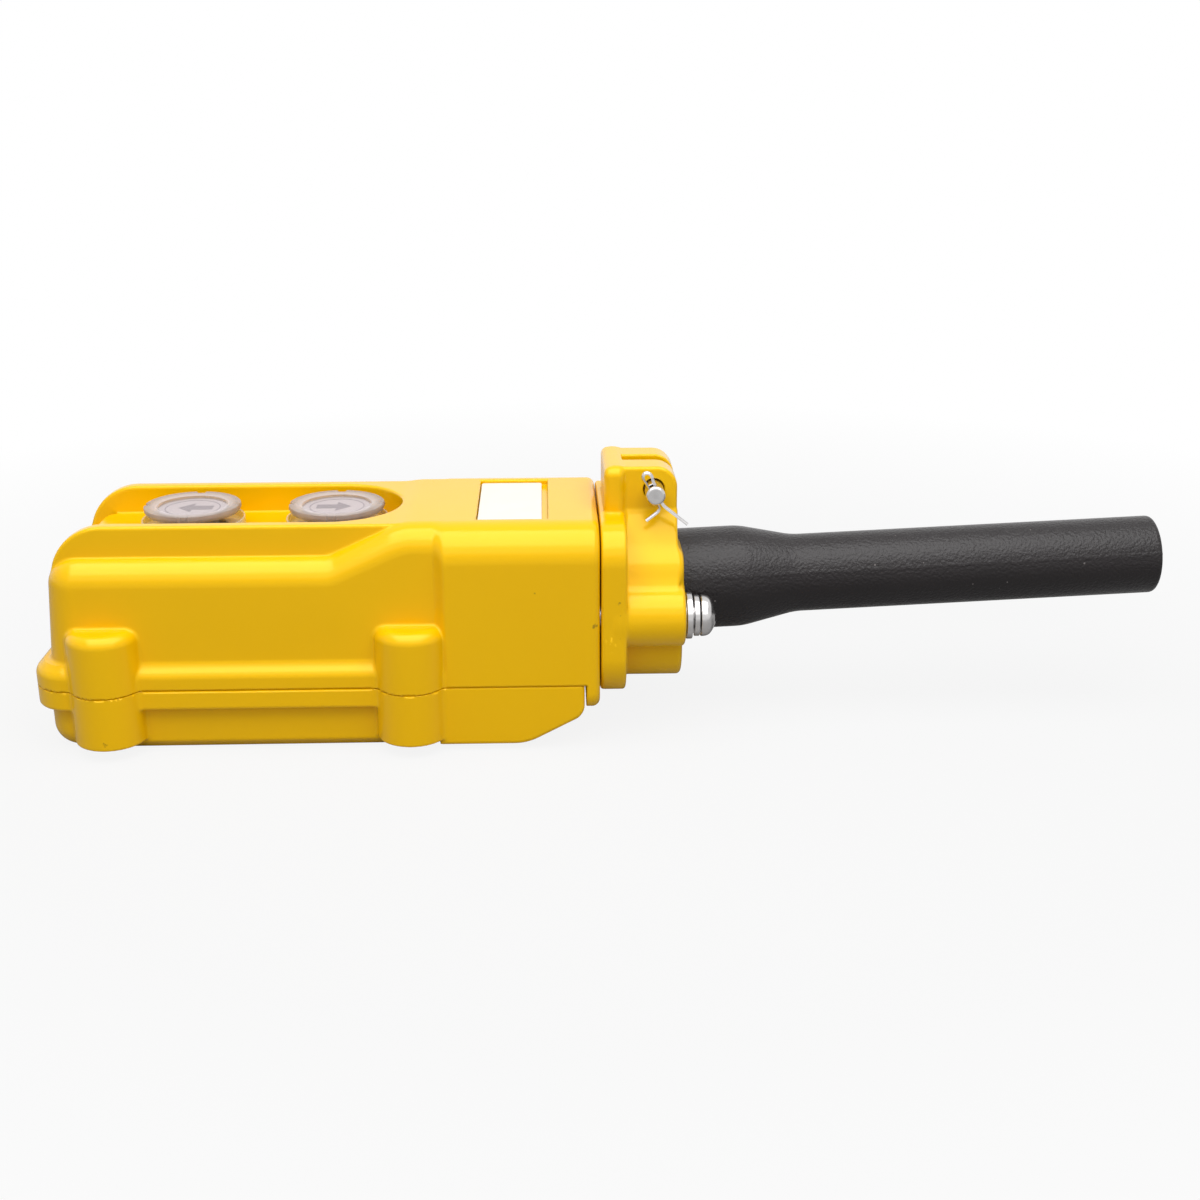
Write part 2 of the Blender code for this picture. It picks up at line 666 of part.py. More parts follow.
def rear_cover():
    x_foot = X_COVER_END - COVER_TAPER
    head_z = NECK_BASE_Z + COVER_TAPER_RISE
    taper = [(X_NECK, NECK_BASE_Z, 0), (x_foot, NECK_BASE_Z, TAPER_FOOT_ROUND),
             (X_COVER_END, head_z, COVER_TAPER_ROUND),
             (X_COVER_END, SPLIT_Z + OVERCUT, 0), (X_NECK, SPLIT_Z + OVERCUT, 0)]
    cover = prism("rear_cover",
                  plan_outline(X_BODY - COVER_OVERHANG, x_foot, COVER_HALF, BODY_CORNER),
                  0, SPLIT_Z + 2 * OVERCUT, finish=YELLOW,
                  rounds=((COVER_CHAMFER, lambda m, e: m.z < TOUCH, 1),))
    neck = prism("cover_neck", rounded(taper), -NECK_HALF, NECK_HALF, SIDE,
                 rounds=((COVER_NECK_ROUND,
                          lambda m, e: abs(m.y) > NECK_HALF - TOUCH and m.z < head_z, EDGE_STEPS),))
    rim = prism("cover_rim", plan_outline(X_RIM, X_NECK + SHELL_WALL, RIM_HALF, RIM_CORNER),
                RIM_BOTTOM_Z, SPLIT_Z + OVERCUT / 2)
    join(cover, neck, rim)
    half_in = COVER_HALF - SHELL_WALL
    x_in = X_BODY + SHELL_WALL
    cut(cover,
        prism("cover_cavity",
              plan_outline(x_in, x_foot - SHELL_WALL, half_in, BODY_CORNER - SHELL_WALL),
              SHELL_WALL, SPLIT_Z + 3 * OVERCUT),
        box("taper_cavity",
            (x_foot - 2 * SHELL_WALL, -half_in, head_z + SHELL_WALL),
            (X_COVER_END - SHELL_WALL, half_in, SPLIT_Z + 3.5 * OVERCUT)))
    for k, (x, y) in enumerate(BOSSES):
        join(cover,
             rod(f"cover_boss_{k}", BOSS_RADIUS, (x, y, BOSS_BOTTOM_Z),
                 (x, y, SPLIT_Z + OVERCUT / 4)))
    cut(cover,
        box("above_split", (X_RIM - OVERCUT, -BOSS_Y * 2, COVER_FACE_Z),
            (X_END, BOSS_Y * 2, SPLIT_Z + 4 * OVERCUT)))
    seat_z = COVER_FACE_Z - GASKET_THICKNESS - CLEAR
    cut(cover, prism("gasket_seat", gasket_outline(CLEAR), seat_z, SPLIT_Z + OVERCUT))
    for k, (x, y) in enumerate(BOSSES):
        cut(cover,
            rod(f"gasket_seat_pad_{k}", GASKET_PAD + CLEAR, (x, y, seat_z - OFFSET),
                (x, y, SPLIT_Z)),
            rod(f"cover_head_bore_{k}", COVER_HEAD_RADIUS + CLEAR, (x, y, -OVERCUT),
                (x, y, COVER_SEAT_Z), SMALL_SIDES),
            rod(f"cover_shank_bore_{k}", COVER_SCREW_RADIUS + CLEAR, (x, y, 0), (x, y, SPLIT_Z),
                SMALL_SIDES))
    return cover


def gasket_outline(grow):
    return plan_outline(X_RIM + GASKET_LIP - grow, X_COVER_END - GASKET_LIP + grow,
                        RIM_HALF - GASKET_LIP + grow, RIM_CORNER - GASKET_LIP)


def housing_gasket():
    low = COVER_FACE_Z - GASKET_THICKNESS
    gasket = prism("housing_gasket", gasket_outline(0), low, COVER_FACE_Z, finish=RUBBER)
    cut(gasket,
        prism("gasket_window",
              plan_outline(X_BODY + SHELL_WALL, X_COVER_END - SHELL_WALL, COVER_HALF - SHELL_WALL,
                           BODY_CORNER - SHELL_WALL),
              low - OVERCUT, SPLIT_Z + OVERCUT))
    for k, (x, y) in enumerate(BOSSES):
        join(gasket,
             rod(f"gasket_pad_{k}", GASKET_PAD, (x, y, low - OFFSET),
                 (x, y, COVER_FACE_Z - OFFSET)))
    for k, (x, y) in enumerate(BOSSES):
        cut(gasket,
            rod(f"gasket_hole_{k}", COVER_SCREW_RADIUS + CLEAR, (x, y, low - OVERCUT),
                (x, y, SPLIT_Z + OVERCUT), SMALL_SIDES))
    return gasket


def cover_fasteners():
    insert_z = HOUSING_FACE_Z + CLEAR
    length = insert_z + INSERT_LENGTH + CLEAR - COVER_SEAT_Z
    for k, (x, y) in enumerate(BOSSES, start=1):
        screw = pan_head_screw(f"cover_screw_{k}", COVER_SCREW_RADIUS, length, COVER_HEAD_RADIUS,
                               COVER_HEAD_HEIGHT, blades=2)
        screw.location = (x, y, COVER_SEAT_Z - CLEAR)
        screw.rotation_euler = (math.pi, 0, 0)
        insert = turned(f"cover_insert_{k}",
                        [(INSERT_RADIUS, INSERT_LENGTH), (INSERT_RADIUS, 0),
                         (COVER_SCREW_RADIUS + CLEAR, 0),
                         (COVER_SCREW_RADIUS + CLEAR, INSERT_LENGTH)],
                        SMALL_SIDES, BRASS, ring=True)
        insert.location = (x, y, insert_z)


def label_plate():
    x0 = X_END - LABEL_MARGIN - LABEL_LENGTH + CLEAR
    z0 = NECK_TOP_Z - LABEL_DEPTH + CLEAR
    half = LABEL_WIDTH / 2 - CLEAR
    return prism("label_plate", box_outline(x0, x0 + PLATE_LENGTH, -half, half), z0,
                 z0 + PLATE_THICKNESS, finish=WHITE)


def push_button(k, x):
    """One button: the pieces that travel hang from an empty on its axis, the rest stay put."""
    slider = empty(f"button_axis_{k}", (x, 0, 0))
    pocket_z = LENS_BOTTOM_Z + LEGEND_THICKNESS + 2 * CLEAR
    edge = [(LENS_RADIUS - LENS_ROUND, LENS_TOP_Z), (LENS_RADIUS, LENS_TOP_Z - LENS_ROUND)]
    lens = turned(f"button_lens_{k}",
                  [(0, LENS_TOP_Z), *edge, (LENS_RADIUS, LENS_BOTTOM_Z),
                   (LEGEND_RADIUS + CLEAR, LENS_BOTTOM_Z), (LEGEND_RADIUS + CLEAR, pocket_z),
                   (0, pocket_z)],
                  FINE_SIDES, CLEAR_PLASTIC)
    legend = rod(f"button_legend_{k}", LEGEND_RADIUS, (0, 0, pocket_z - CLEAR - LEGEND_THICKNESS),
                 (0, 0, pocket_z - CLEAR), ROUND_SIDES, LEGEND)
    stem_top = pocket_z - 2 * CLEAR - LEGEND_THICKNESS
    nose_bottom = RETAINER_BOTTOM_Z - NOSE_LENGTH
    plunger = turned(f"button_plunger_{k}",
                     [(0, stem_top), (STEM_RADIUS, stem_top), (STEM_RADIUS, RETAINER_TOP_Z),
                      (RETAINER_RADIUS, RETAINER_TOP_Z), (RETAINER_RADIUS, RETAINER_BOTTOM_Z),
                      (NOSE_RADIUS, RETAINER_BOTTOM_Z), (NOSE_RADIUS, nose_bottom),
                      (0, nose_bottom)],
                     HIDDEN_SIDES, NYLON)
    bridge = prism(f"contact_bridge_{k}",
                   box_outline(-BRIDGE_WIDTH / 2, BRIDGE_WIDTH / 2, -BRIDGE_SPAN / 2,
                               BRIDGE_SPAN / 2, BRIDGE_WIDTH / 4),
                   BRIDGE_BOTTOM_Z, BRIDGE_TOP_Z, finish=BRASS)
    hole = rod(f"bridge_hole_{k}", NOSE_RADIUS + CLEAR, (0, 0, BRIDGE_BOTTOM_Z - OVERCUT),
               (0, 0, BRIDGE_TOP_Z + OVERCUT), SMALL_SIDES)
    for piece in (lens, legend, plunger, bridge, hole):
        hang(piece, slider)
    cut(bridge, hole)
    spring = return_spring(k)
    hang(spring, slider)
    bore = STEM_RADIUS + SEAL_WIDTH + CLEAR * 2
    lip = STEM_RADIUS + CLEAR
    land_z = COLLAR_BOTTOM_Z + SHELL_WALL / 2
    collar_top = COLLAR_SEAT_Z + COLLAR_FLANGE
    collar = turned(f"button_collar_{k}",
                    [(COLLAR_RADIUS, collar_top), (COLLAR_RADIUS, COLLAR_SEAT_Z),
                     (COLLAR_SLEEVE, COLLAR_SEAT_Z), (COLLAR_SLEEVE, COLLAR_BOTTOM_Z),
                     (lip, COLLAR_BOTTOM_Z), (lip, land_z), (bore, land_z), (bore, collar_top)],
                    FINE_SIDES, CLEAR_PLASTIC, ring=True)
    collar.location = (x, 0, 0)
    seal = turned(f"button_seal_{k}",
                  [(bore - CLEAR, land_z + CLEAR + SEAL_HEIGHT), (bore - CLEAR, land_z + CLEAR),
                   (lip, land_z + CLEAR), (lip, land_z + CLEAR + SEAL_HEIGHT / 3),
                   (lip + SEAL_WIDTH / 2, land_z + CLEAR + SEAL_HEIGHT * 2 / 3),
                   (lip, land_z + CLEAR + SEAL_HEIGHT)],
                  HIDDEN_SIDES, RUBBER, ring=True)
    seal.location = (x, 0, 0)


def return_spring(k):
    """Coil between the contact bridge and its seat in the contact base."""
    top = BRIDGE_BOTTOM_Z - CLEAR - SPRING_WIRE
    bottom = BASE_TOP_Z - SPRING_SEAT_DEPTH + CLEAR + SPRING_WIRE
    count = int(SPRING_TURNS * SPRING_STEPS)
    points = []
    for i in range(count + 1):
        angle = 2 * math.pi * i / SPRING_STEPS
        points.append((SPRING_RADIUS * math.cos(angle), SPRING_RADIUS * math.sin(angle),
                       bottom + (top - bottom) * i / count))
    gap = (top - bottom) / SPRING_TURNS - 2 * SPRING_WIRE
    print(f"return_spring_{k} gap between turns {gap / MM:.2f} mm")
    return wire(f"return_spring_{k}", points, SPRING_WIRE, STEEL)


def contact_block():
    x0 = BUTTON_X[0] - BASE_MARGIN
    x1 = BUTTON_X[1] + BASE_MARGIN
    base = prism("contact_base", box_outline(x0, x1, -BASE_HALF, BASE_HALF), BASE_BOTTOM_Z,
                 BASE_TOP_Z, finish=PHENOLIC)
    screw_x = x_base_screw()
    for k, x in enumerate(BUTTON_X, start=1):
        cut(base,
            rod(f"spring_seat_{k}", SPRING_RADIUS + SPRING_WIRE + CLEAR * 2,
                (x, 0, BASE_TOP_Z - SPRING_SEAT_DEPTH), (x, 0, BASE_TOP_Z + OVERCUT)),
            rod(f"nose_bore_{k}", NOSE_RADIUS + CLEAR, (x, 0, BASE_BOTTOM_Z - OVERCUT),
                (x, 0, BASE_TOP_Z), SMALL_SIDES))
    for k, y in enumerate((-POST_Y, POST_Y), start=1):
        cut(base,
            rod(f"base_bore_{k}", BASE_SCREW_RADIUS + CLEAR, (screw_x, y, BASE_BOTTOM_Z - OVERCUT),
                (screw_x, y, BASE_TOP_Z + OVERCUT), SMALL_SIDES))
        screw = pan_head_screw(f"base_screw_{k}", BASE_SCREW_RADIUS,
                               BASE_THICKNESS + BASE_SCREW_GRIP, SMALL_HEAD_RADIUS,
                               SMALL_HEAD_HEIGHT)
        screw.location = (screw_x, y, BASE_BOTTOM_Z - CLEAR)
        screw.rotation_euler = (math.pi, 0, 0)
    outer = BASE_HALF + CLEAR + CONTACT_THICKNESS
    inner = BASE_HALF + CLEAR
    lower = CONTACT_BOTTOM_Z + CONTACT_THICKNESS
    upper = CONTACT_TOP_Z - CONTACT_THICKNESS
    number = 1
    for x in BUTTON_X:
        for side in (-1, 1):
            strip = [(CONTACT_REACH, CONTACT_BOTTOM_Z), (outer, CONTACT_BOTTOM_Z),
                     (outer, CONTACT_TOP_Z), (CONTACT_REACH, CONTACT_TOP_Z), (CONTACT_REACH, upper),
                     (inner, upper), (inner, lower), (CONTACT_REACH, lower)]
            contact = prism(f"fixed_contact_{number}", [(side * u, v) for u, v in strip],
                            x - CONTACT_WIDTH / 2, x + CONTACT_WIDTH / 2, END, finish=BRASS)
            y = side * TERMINAL_Y
            bore = rod(f"terminal_bore_{number}", TERMINAL_RADIUS + CLEAR,
                       (x, y, CONTACT_BOTTOM_Z - OVERCUT),
                       (x, y, BASE_BOTTOM_Z + TERMINAL_DEPTH + CLEAR), SMALL_SIDES)
            cut(contact, bore)
            cut(base, bore)
            screw = pan_head_screw(f"terminal_screw_{number}", TERMINAL_RADIUS,
                                   TERMINAL_DEPTH + CONTACT_THICKNESS + CLEAR, SMALL_HEAD_RADIUS,
                                   SMALL_HEAD_HEIGHT, finish=BRASS)
            screw.location = (x, y, CONTACT_BOTTOM_Z - CLEAR)
            screw.rotation_euler = (math.pi, 0, 0)
            number += 1
    return base


def cord_clamp():
    """Strap that holds the cable under the two posts in the neck."""
    top = CLAMP_POST_Z - CLEAR
    bottom = top - CLAMP_THICKNESS
    reach = CLAMP_Y + CLAMP_EAR
    arch_out = CLAMP_ARCH + CLAMP_THICKNESS
    start = math.asin(CLAMP_THICKNESS / arch_out)
    under = []
    over = []
    for k in range(ARCH_STEPS + 1):
        angle = math.pi - start - (math.pi - 2 * start) * k / ARCH_STEPS
        under.append((arch_out * math.cos(angle), top - arch_out * math.sin(angle)))
        angle = math.pi * k / ARCH_STEPS
        over.append((CLAMP_ARCH * math.cos(angle), top - CLAMP_ARCH * math.sin(angle)))
    outline = [(-reach, bottom), *under, (reach, bottom), (reach, top), *over, (-reach, top)]
    clamp = prism("cord_clamp", outline, X_CLAMP - CLAMP_WIDTH / 2, X_CLAMP + CLAMP_WIDTH / 2, END,
                  finish=STEEL)
    for k, y in enumerate((-CLAMP_Y, CLAMP_Y), start=1):
        cut(clamp,
            rod(f"clamp_hole_{k}", BASE_SCREW_RADIUS + CLEAR, (X_CLAMP, y, bottom - OVERCUT),
                (X_CLAMP, y, top + OVERCUT), SMALL_SIDES))
        screw = pan_head_screw(f"clamp_screw_{k}", BASE_SCREW_RADIUS,
                               BASE_SCREW_GRIP + CLAMP_THICKNESS, SMALL_HEAD_RADIUS,
                               SMALL_HEAD_HEIGHT)
        screw.location = (X_CLAMP, y, bottom - CLEAR)
        screw.rotation_euler = (math.pi, 0, 0)
    return clamp


def cable_cap():
    flange = rounded([(-FLANGE_HALF, FLANGE_BOTTOM_Z, FLANGE_LOWER_ROUND),
                      (FLANGE_HALF, FLANGE_BOTTOM_Z, FLANGE_LOWER_ROUND),
                      (FLANGE_HALF, FLANGE_TOP_Z, FLANGE_UPPER_ROUND),
                      (-FLANGE_HALF, FLANGE_TOP_Z, FLANGE_UPPER_ROUND)])
    cap = prism("cable_cap", flange, X_FLANGE, X_CAP, END, finish=YELLOW)
    shell = rounded([(-CAP_HALF, CAP_BOTTOM_Z, CAP_CORNER), (CAP_HALF, CAP_BOTTOM_Z, CAP_CORNER),
                     (CAP_HALF, AXIS_Z + EAR_ROOT_RISE, CAP_CORNER / 2),
                     (-CAP_HALF, AXIS_Z + EAR_ROOT_RISE, CAP_CORNER / 2)])
    lug = rounded([(-LUG_HALF, AXIS_Z, 0), (LUG_HALF, AXIS_Z, 0), (LUG_HALF, LUG_TOP_Z, LUG_ROUND),
                   (-LUG_HALF, LUG_TOP_Z, LUG_ROUND)])
    x_back = X_CAP - FLANGE_THICKNESS / 2
    x_face = X_CAP_END - CAP_SET_BACK
    root = [(-EAR_ROOT_HALF, AXIS_Z + EAR_ROOT_RISE), (EAR_ROOT_HALF, AXIS_Z + EAR_ROOT_RISE),
            (EAR_HALF, SLOT_FLOOR_Z + OVERCUT), (-EAR_HALF, SLOT_FLOOR_Z + OVERCUT)]
    x_ear = X_CAP_END - EAR_SET_BACK
    ears = rounded([(x_back, AXIS_Z, 0), (x_ear, AXIS_Z, 0), (x_ear, EAR_TOP_Z, EAR_ROUND),
                    (x_back, EAR_TOP_Z, 0)])
    join(cap, prism("lug_plate", lug, X_FLANGE + LUG_SET_BACK, X_CAP - OFFSET, END),
         prism("cap_shell", shell, x_back, x_face, END,
               rounds=((CAP_ROUND, lambda m, e: m.x > x_face - TOUCH, EDGE_STEPS),)),
         prism("ear_root", root, x_back, x_ear - OFFSET, END),
         prism("ear_block", ears, -EAR_HALF, EAR_HALF, SIDE))
    for k, y in enumerate((-CAP_SCREW_Y, CAP_SCREW_Y)):
        join(cap,
             rod(f"cap_boss_{k}", CAP_BOSS_RADIUS, (x_back, y, CAP_SCREW_Z),
                 (X_CAP_END, y, CAP_SCREW_Z), round_end=CAP_ROUND))
    cut(cap,
        box("clevis_slot", (X_CAP - OFFSET, -SLOT_HALF, SLOT_FLOOR_Z),
            (X_CAP_END + OVERCUT, SLOT_HALF, EAR_TOP_Z + OVERCUT)),
        rod("pin_hole", PIN_RADIUS + CLEAR, (X_PIN, -EAR_HALF * 2, PIN_Z),
            (X_PIN, EAR_HALF * 2, PIN_Z)),
        rod("boot_seat", BOOT_FLANGE_RADIUS + CLEAR, (X_FLANGE - OVERCUT, 0, AXIS_Z),
            (X_FLANGE + BOOT_FLANGE + CLEAR, 0, AXIS_Z), FINE_SIDES),
        rod("boot_hole", BOOT_ROOT_RADIUS + BOOT_FIT, (X_FLANGE, 0, AXIS_Z),
            (X_CAP_END + OVERCUT, 0, AXIS_Z), FINE_SIDES))
    for k, y in enumerate((-CAP_SCREW_Y, CAP_SCREW_Y)):
        cut(cap,
            rod(f"cap_screw_hole_{k}", CAP_SCREW_RADIUS + CLEAR,
                (X_FLANGE - OVERCUT, y, CAP_SCREW_Z), (X_CAP_END + OVERCUT, y, CAP_SCREW_Z),
                SMALL_SIDES))
    return cap


def cap_fasteners():
    flat_x = X_CAP_END + CLEAR
    spring_x = flat_x + WASHER_THICKNESS + CLEAR
    head_x = spring_x + WASHER_THICKNESS + CLEAR
    nut_x = X_INNER_END - CLEAR - NUT_THICKNESS
    bore = CAP_SCREW_RADIUS + CLEAR
    along_x = (0, math.pi / 2, 0)
    for k, y in enumerate((-CAP_SCREW_Y, CAP_SCREW_Y), start=1):
        flat = turned(f"cap_flat_washer_{k}",
                      [(WASHER_RADIUS, WASHER_THICKNESS), (WASHER_RADIUS, 0), (bore, 0),
                       (bore, WASHER_THICKNESS)],
                      ROUND_SIDES, STEEL, ring=True)
        lock = turned(f"cap_spring_washer_{k}",
                      [(SPRING_WASHER_RADIUS, WASHER_THICKNESS), (SPRING_WASHER_RADIUS, 0),
                       (bore, 0), (bore, WASHER_THICKNESS)],
                      ROUND_SIDES, STEEL, ring=True)
        split = box(f"washer_split_{k}", (0, -SPRING_WASHER_SPLIT / 2, -OVERCUT),
                    (2 * SPRING_WASHER_RADIUS, SPRING_WASHER_SPLIT / 2, WASHER_THICKNESS + OVERCUT))
        split.parent = lock
        cut(lock, split)
        screw = pan_head_screw(f"cap_screw_{k}", CAP_SCREW_RADIUS, head_x - nut_x + CLEAR,
                               CAP_HEAD_RADIUS, CAP_HEAD_HEIGHT, ROUND_SIDES, steps=4, blades=2)
        nut = prism(f"cap_nut_{k}",
                    [(NUT_RADIUS * math.cos(math.pi * i / 3),
                      NUT_RADIUS * math.sin(math.pi * i / 3))
                     for i in range(6)],
                    0, NUT_THICKNESS, finish=STEEL)
        thread = rod(f"nut_bore_{k}", bore, (0, 0, -OVERCUT), (0, 0, NUT_THICKNESS + OVERCUT),
                     SMALL_SIDES)
        thread.parent = nut
        cut(nut, thread)
        for piece, x in ((flat, flat_x), (lock, spring_x), (screw, head_x), (nut, nut_x)):
            piece.location = (x, y, CAP_SCREW_Z)
            piece.rotation_euler = along_x


def boot_axis(x):
    """Height of the boot's axis: level through the cap, then rising."""
    return AXIS_Z + max(0.0, x - X_CAP) * math.tan(math.radians(BOOT_RISE))


def boot_tube(name, stations):
    """Tube along the boot's axis, with a radius at each station."""
    curve = bpy.data.curves.new(name, "CURVE")
    curve.dimensions = "3D"
    curve.bevel_depth = 1.0
    curve.bevel_resolution = ROUND_SIDES // 2 - 2
    curve.use_fill_caps = True
    spline = curve.splines.new("POLY")
    spline.points.add(len(stations) - 1)
    for point, (x, radius) in zip(spline.points, stations):
        point.co = (x, 0, boot_axis(x), 1)
        point.radius = radius
    return mesh_object(name, curve_mesh(name, curve))


def cable_boot():
    x_start = X_FLANGE + CLEAR / 2
    x_taper = X_CAP_END + BOOT_ROOT_REACH
    drop = BOOT_ROOT_RADIUS - BOOT_SLEEVE_RADIUS
    stations = [(x_start + BOOT_FLANGE / 2, BOOT_ROOT_RADIUS), (X_CAP, BOOT_ROOT_RADIUS),
                (x_taper - BOOT_KNEE, BOOT_ROOT_RADIUS),
                (x_taper + BOOT_KNEE, BOOT_ROOT_RADIUS - drop * BOOT_KNEE / BOOT_TAPER),
                (x_taper + BOOT_TAPER - BOOT_KNEE,
                 BOOT_SLEEVE_RADIUS + drop * BOOT_KNEE / BOOT_TAPER),
                (x_taper + BOOT_TAPER + BOOT_KNEE, BOOT_SLEEVE_RADIUS)]
    x_tip = X_BOOT_END - math.sin(math.radians(BOOT_RISE)) * (BOOT_SLEEVE_RADIUS - BOOT_END_ROUND)
    for k in range(TIP_STEPS + 1):
        angle = math.radians(90) * k / TIP_STEPS
        stations.append((x_tip - BOOT_END_ROUND * (1 - math.sin(angle)),
                         BOOT_SLEEVE_RADIUS - BOOT_END_ROUND * (1 - math.cos(angle))))
    sleeve = boot_tube("boot_sleeve", stations)
    boot = rod("cable_boot", BOOT_FLANGE_RADIUS, (x_start, 0, AXIS_Z),
               (x_start + BOOT_FLANGE, 0, AXIS_Z), FINE_SIDES, RUBBER)
    join(boot, sleeve)
    cut(boot,
        boot_tube("boot_bore",
                  [(x_start - OVERCUT, BOOT_BORE), (X_CAP, BOOT_BORE),
                   (X_BOOT_END + OVERCUT, BOOT_BORE)]))
    return boot


def hanger():
    """Hanger pin and cotter, carried on an empty on the pin's axis."""
    axis = empty("hanger_axis", (X_PIN, 0, PIN_Z))
    tip = -EAR_HALF - PIN_NEAR
    seat = EAR_HALF + CLEAR
    pin = turned("hanger_pin",
                 [(0, seat + PIN_HEAD_HEIGHT), (PIN_HEAD_RADIUS, seat + PIN_HEAD_HEIGHT),
                  (PIN_HEAD_RADIUS, seat), (PIN_RADIUS, seat), (PIN_RADIUS, tip + PIN_CHAMFER),
                  (PIN_RADIUS - PIN_CHAMFER, tip), (0, tip)],
                 ROUND_SIDES, STEEL)
    hang(pin, axis, rotation=(-math.pi / 2, 0, 0))
    lean = math.radians(COTTER_TILT)
    down = Vector((math.sin(lean), 0, -math.cos(lean)))
    y = tip + COTTER_FROM_TIP
    centre = Vector((0, y, 0))
    pair = COTTER_WIRE + CLEAR / 2
    hole = rod("cotter_hole", pair + COTTER_WIRE + CLEAR, centre - down * PIN_RADIUS * 2,
               centre + down * PIN_RADIUS * 2, SMALL_SIDES)
    hang(hole, axis)
    cut(pin, hole)
    across = Vector((math.cos(lean), 0, math.sin(lean)))
    out = PIN_RADIUS + CLEAR + COTTER_WIRE
    eye_centre = -down * (out + COTTER_EYE)
    points = cotter_leg(down, across, pair, out, 0, COTTER_LEG_LONG, COTTER_SPREAD_LONG)
    start = math.asin(pair / COTTER_EYE)
    for k in range(EYE_STEPS + 1):
        angle = start + (2 * math.pi - 2 * start) * k / EYE_STEPS
        ray = down * math.cos(angle) + across * math.sin(angle)
        points.append(eye_centre + ray * COTTER_EYE)
    points += reversed(cotter_leg(down, -across, pair, out, COTTER_NECK, COTTER_LEG_SHORT,
                                  COTTER_SPREAD_SHORT))
    cotter = wire("cotter_pin", [p + centre for p in points], COTTER_WIRE, STEEL)
    hang(cotter, axis)


def cotter_leg(down, across, pair, out, straight, length, spread):
    """One leg from its tip, through a bend in two steps, back to the top of the pin."""
    points = [across * pair - down * out, across * pair + down * (out + straight)]
    for share, step in ((0.5, COTTER_BEND), (1.0, length - COTTER_BEND)):
        turn = math.radians(spread * share)
        points.append(points[-1] + (down * math.cos(turn) + across * math.sin(turn)) * step)
    return points[::-1]


def build():
    front_housing()
    rear_cover()
    housing_gasket()
    cover_fasteners()
    label_plate()
    for k, x in enumerate(BUTTON_X, start=1):
        push_button(k, x)
    contact_block()
    cord_clamp()
    cable_cap()
    cap_fasteners()
    cable_boot()
    hanger()
    bpy.context.view_layer.update()


build()
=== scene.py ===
"""Looks of a two-button pendant control station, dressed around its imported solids.

The moulded shells are drawn as distance fields, so that their rounds and fillets run into each
other as they do in a mould. Shape code works in millimetres, and meshes are made in metres.
"""
import math

import bmesh
import bpy
import numpy as np
from mathutils import Matrix, Vector


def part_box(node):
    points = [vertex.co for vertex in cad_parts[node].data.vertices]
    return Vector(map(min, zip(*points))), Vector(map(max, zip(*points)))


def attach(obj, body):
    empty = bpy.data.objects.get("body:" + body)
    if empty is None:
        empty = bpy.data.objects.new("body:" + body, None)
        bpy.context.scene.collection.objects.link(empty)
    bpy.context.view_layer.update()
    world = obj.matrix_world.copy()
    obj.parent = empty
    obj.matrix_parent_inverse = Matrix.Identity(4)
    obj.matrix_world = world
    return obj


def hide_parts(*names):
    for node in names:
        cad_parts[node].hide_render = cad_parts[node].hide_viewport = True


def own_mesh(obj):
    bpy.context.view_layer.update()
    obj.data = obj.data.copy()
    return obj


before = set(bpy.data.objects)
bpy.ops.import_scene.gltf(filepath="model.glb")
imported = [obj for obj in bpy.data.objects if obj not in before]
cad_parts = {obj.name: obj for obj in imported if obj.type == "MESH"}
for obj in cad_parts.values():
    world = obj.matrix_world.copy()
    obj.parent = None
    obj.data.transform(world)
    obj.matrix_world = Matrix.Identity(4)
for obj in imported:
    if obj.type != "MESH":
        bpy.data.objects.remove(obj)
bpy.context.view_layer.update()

MM = 0.001


def node_box(name):
    """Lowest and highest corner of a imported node, in millimetres."""
    return [np.array(corner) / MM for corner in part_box(name)]


def node_middle(name):
    low, high = node_box(name)
    return (low + high) / 2


HOUSING_LOW, HOUSING_HIGH = node_box("front_housing")
COVER_HIGH = node_box("rear_cover")[1]
CAP_LOW, CAP_HIGH = node_box("cable_cap")
BOOT_HIGH = node_box("cable_boot")[1]
BUTTON_X = [node_middle(f"button_lens_{k}")[0] for k in (1, 2)]
BOSS_X = [node_middle(f"cover_screw_{k}")[0] for k in (1, 3)]
BOSS_Y = abs(node_middle("cover_screw_1")[1])
LENS_TOP_Z = node_box("button_lens_1")[1][2]
PIN_LOW, PIN_HIGH = node_box("hanger_pin")
PIN_X, PIN_Z = node_middle("hanger_pin")[[0, 2]]
CAP_SCREW_Y, CAP_SCREW_Z = np.abs(node_middle("cap_screw_1")[1:])

# Stations along X
X_RIM = HOUSING_LOW[0]
X_BODY = X_RIM + 4.9
X_NECK = X_BODY + 101.1
X_END = HOUSING_HIGH[0]
X_INNER_END = X_END - 3.5
X_COVER_END = COVER_HIGH[0]
X_COVER_FOOT = X_COVER_END - 15.0
X_CHANNEL_END = X_NECK - 11.0
X_WALL, X_LEDGE = X_BODY + 2.3, X_BODY + 7.6
X_RAMP_FOOT, X_RAMP_HEAD = X_NECK - 28.2, X_NECK - 10.0
X_LABEL = X_END - 31.4, X_END - 13.0
X_SQUARE = X_NECK - 20  # beyond it, outlines have square corners
X_FLANGE = CAP_LOW[0]
X_CAP = X_FLANGE + 6.6
X_CAP_END = CAP_HIGH[0]
X_BOOT_END = BOOT_HIGH[0]

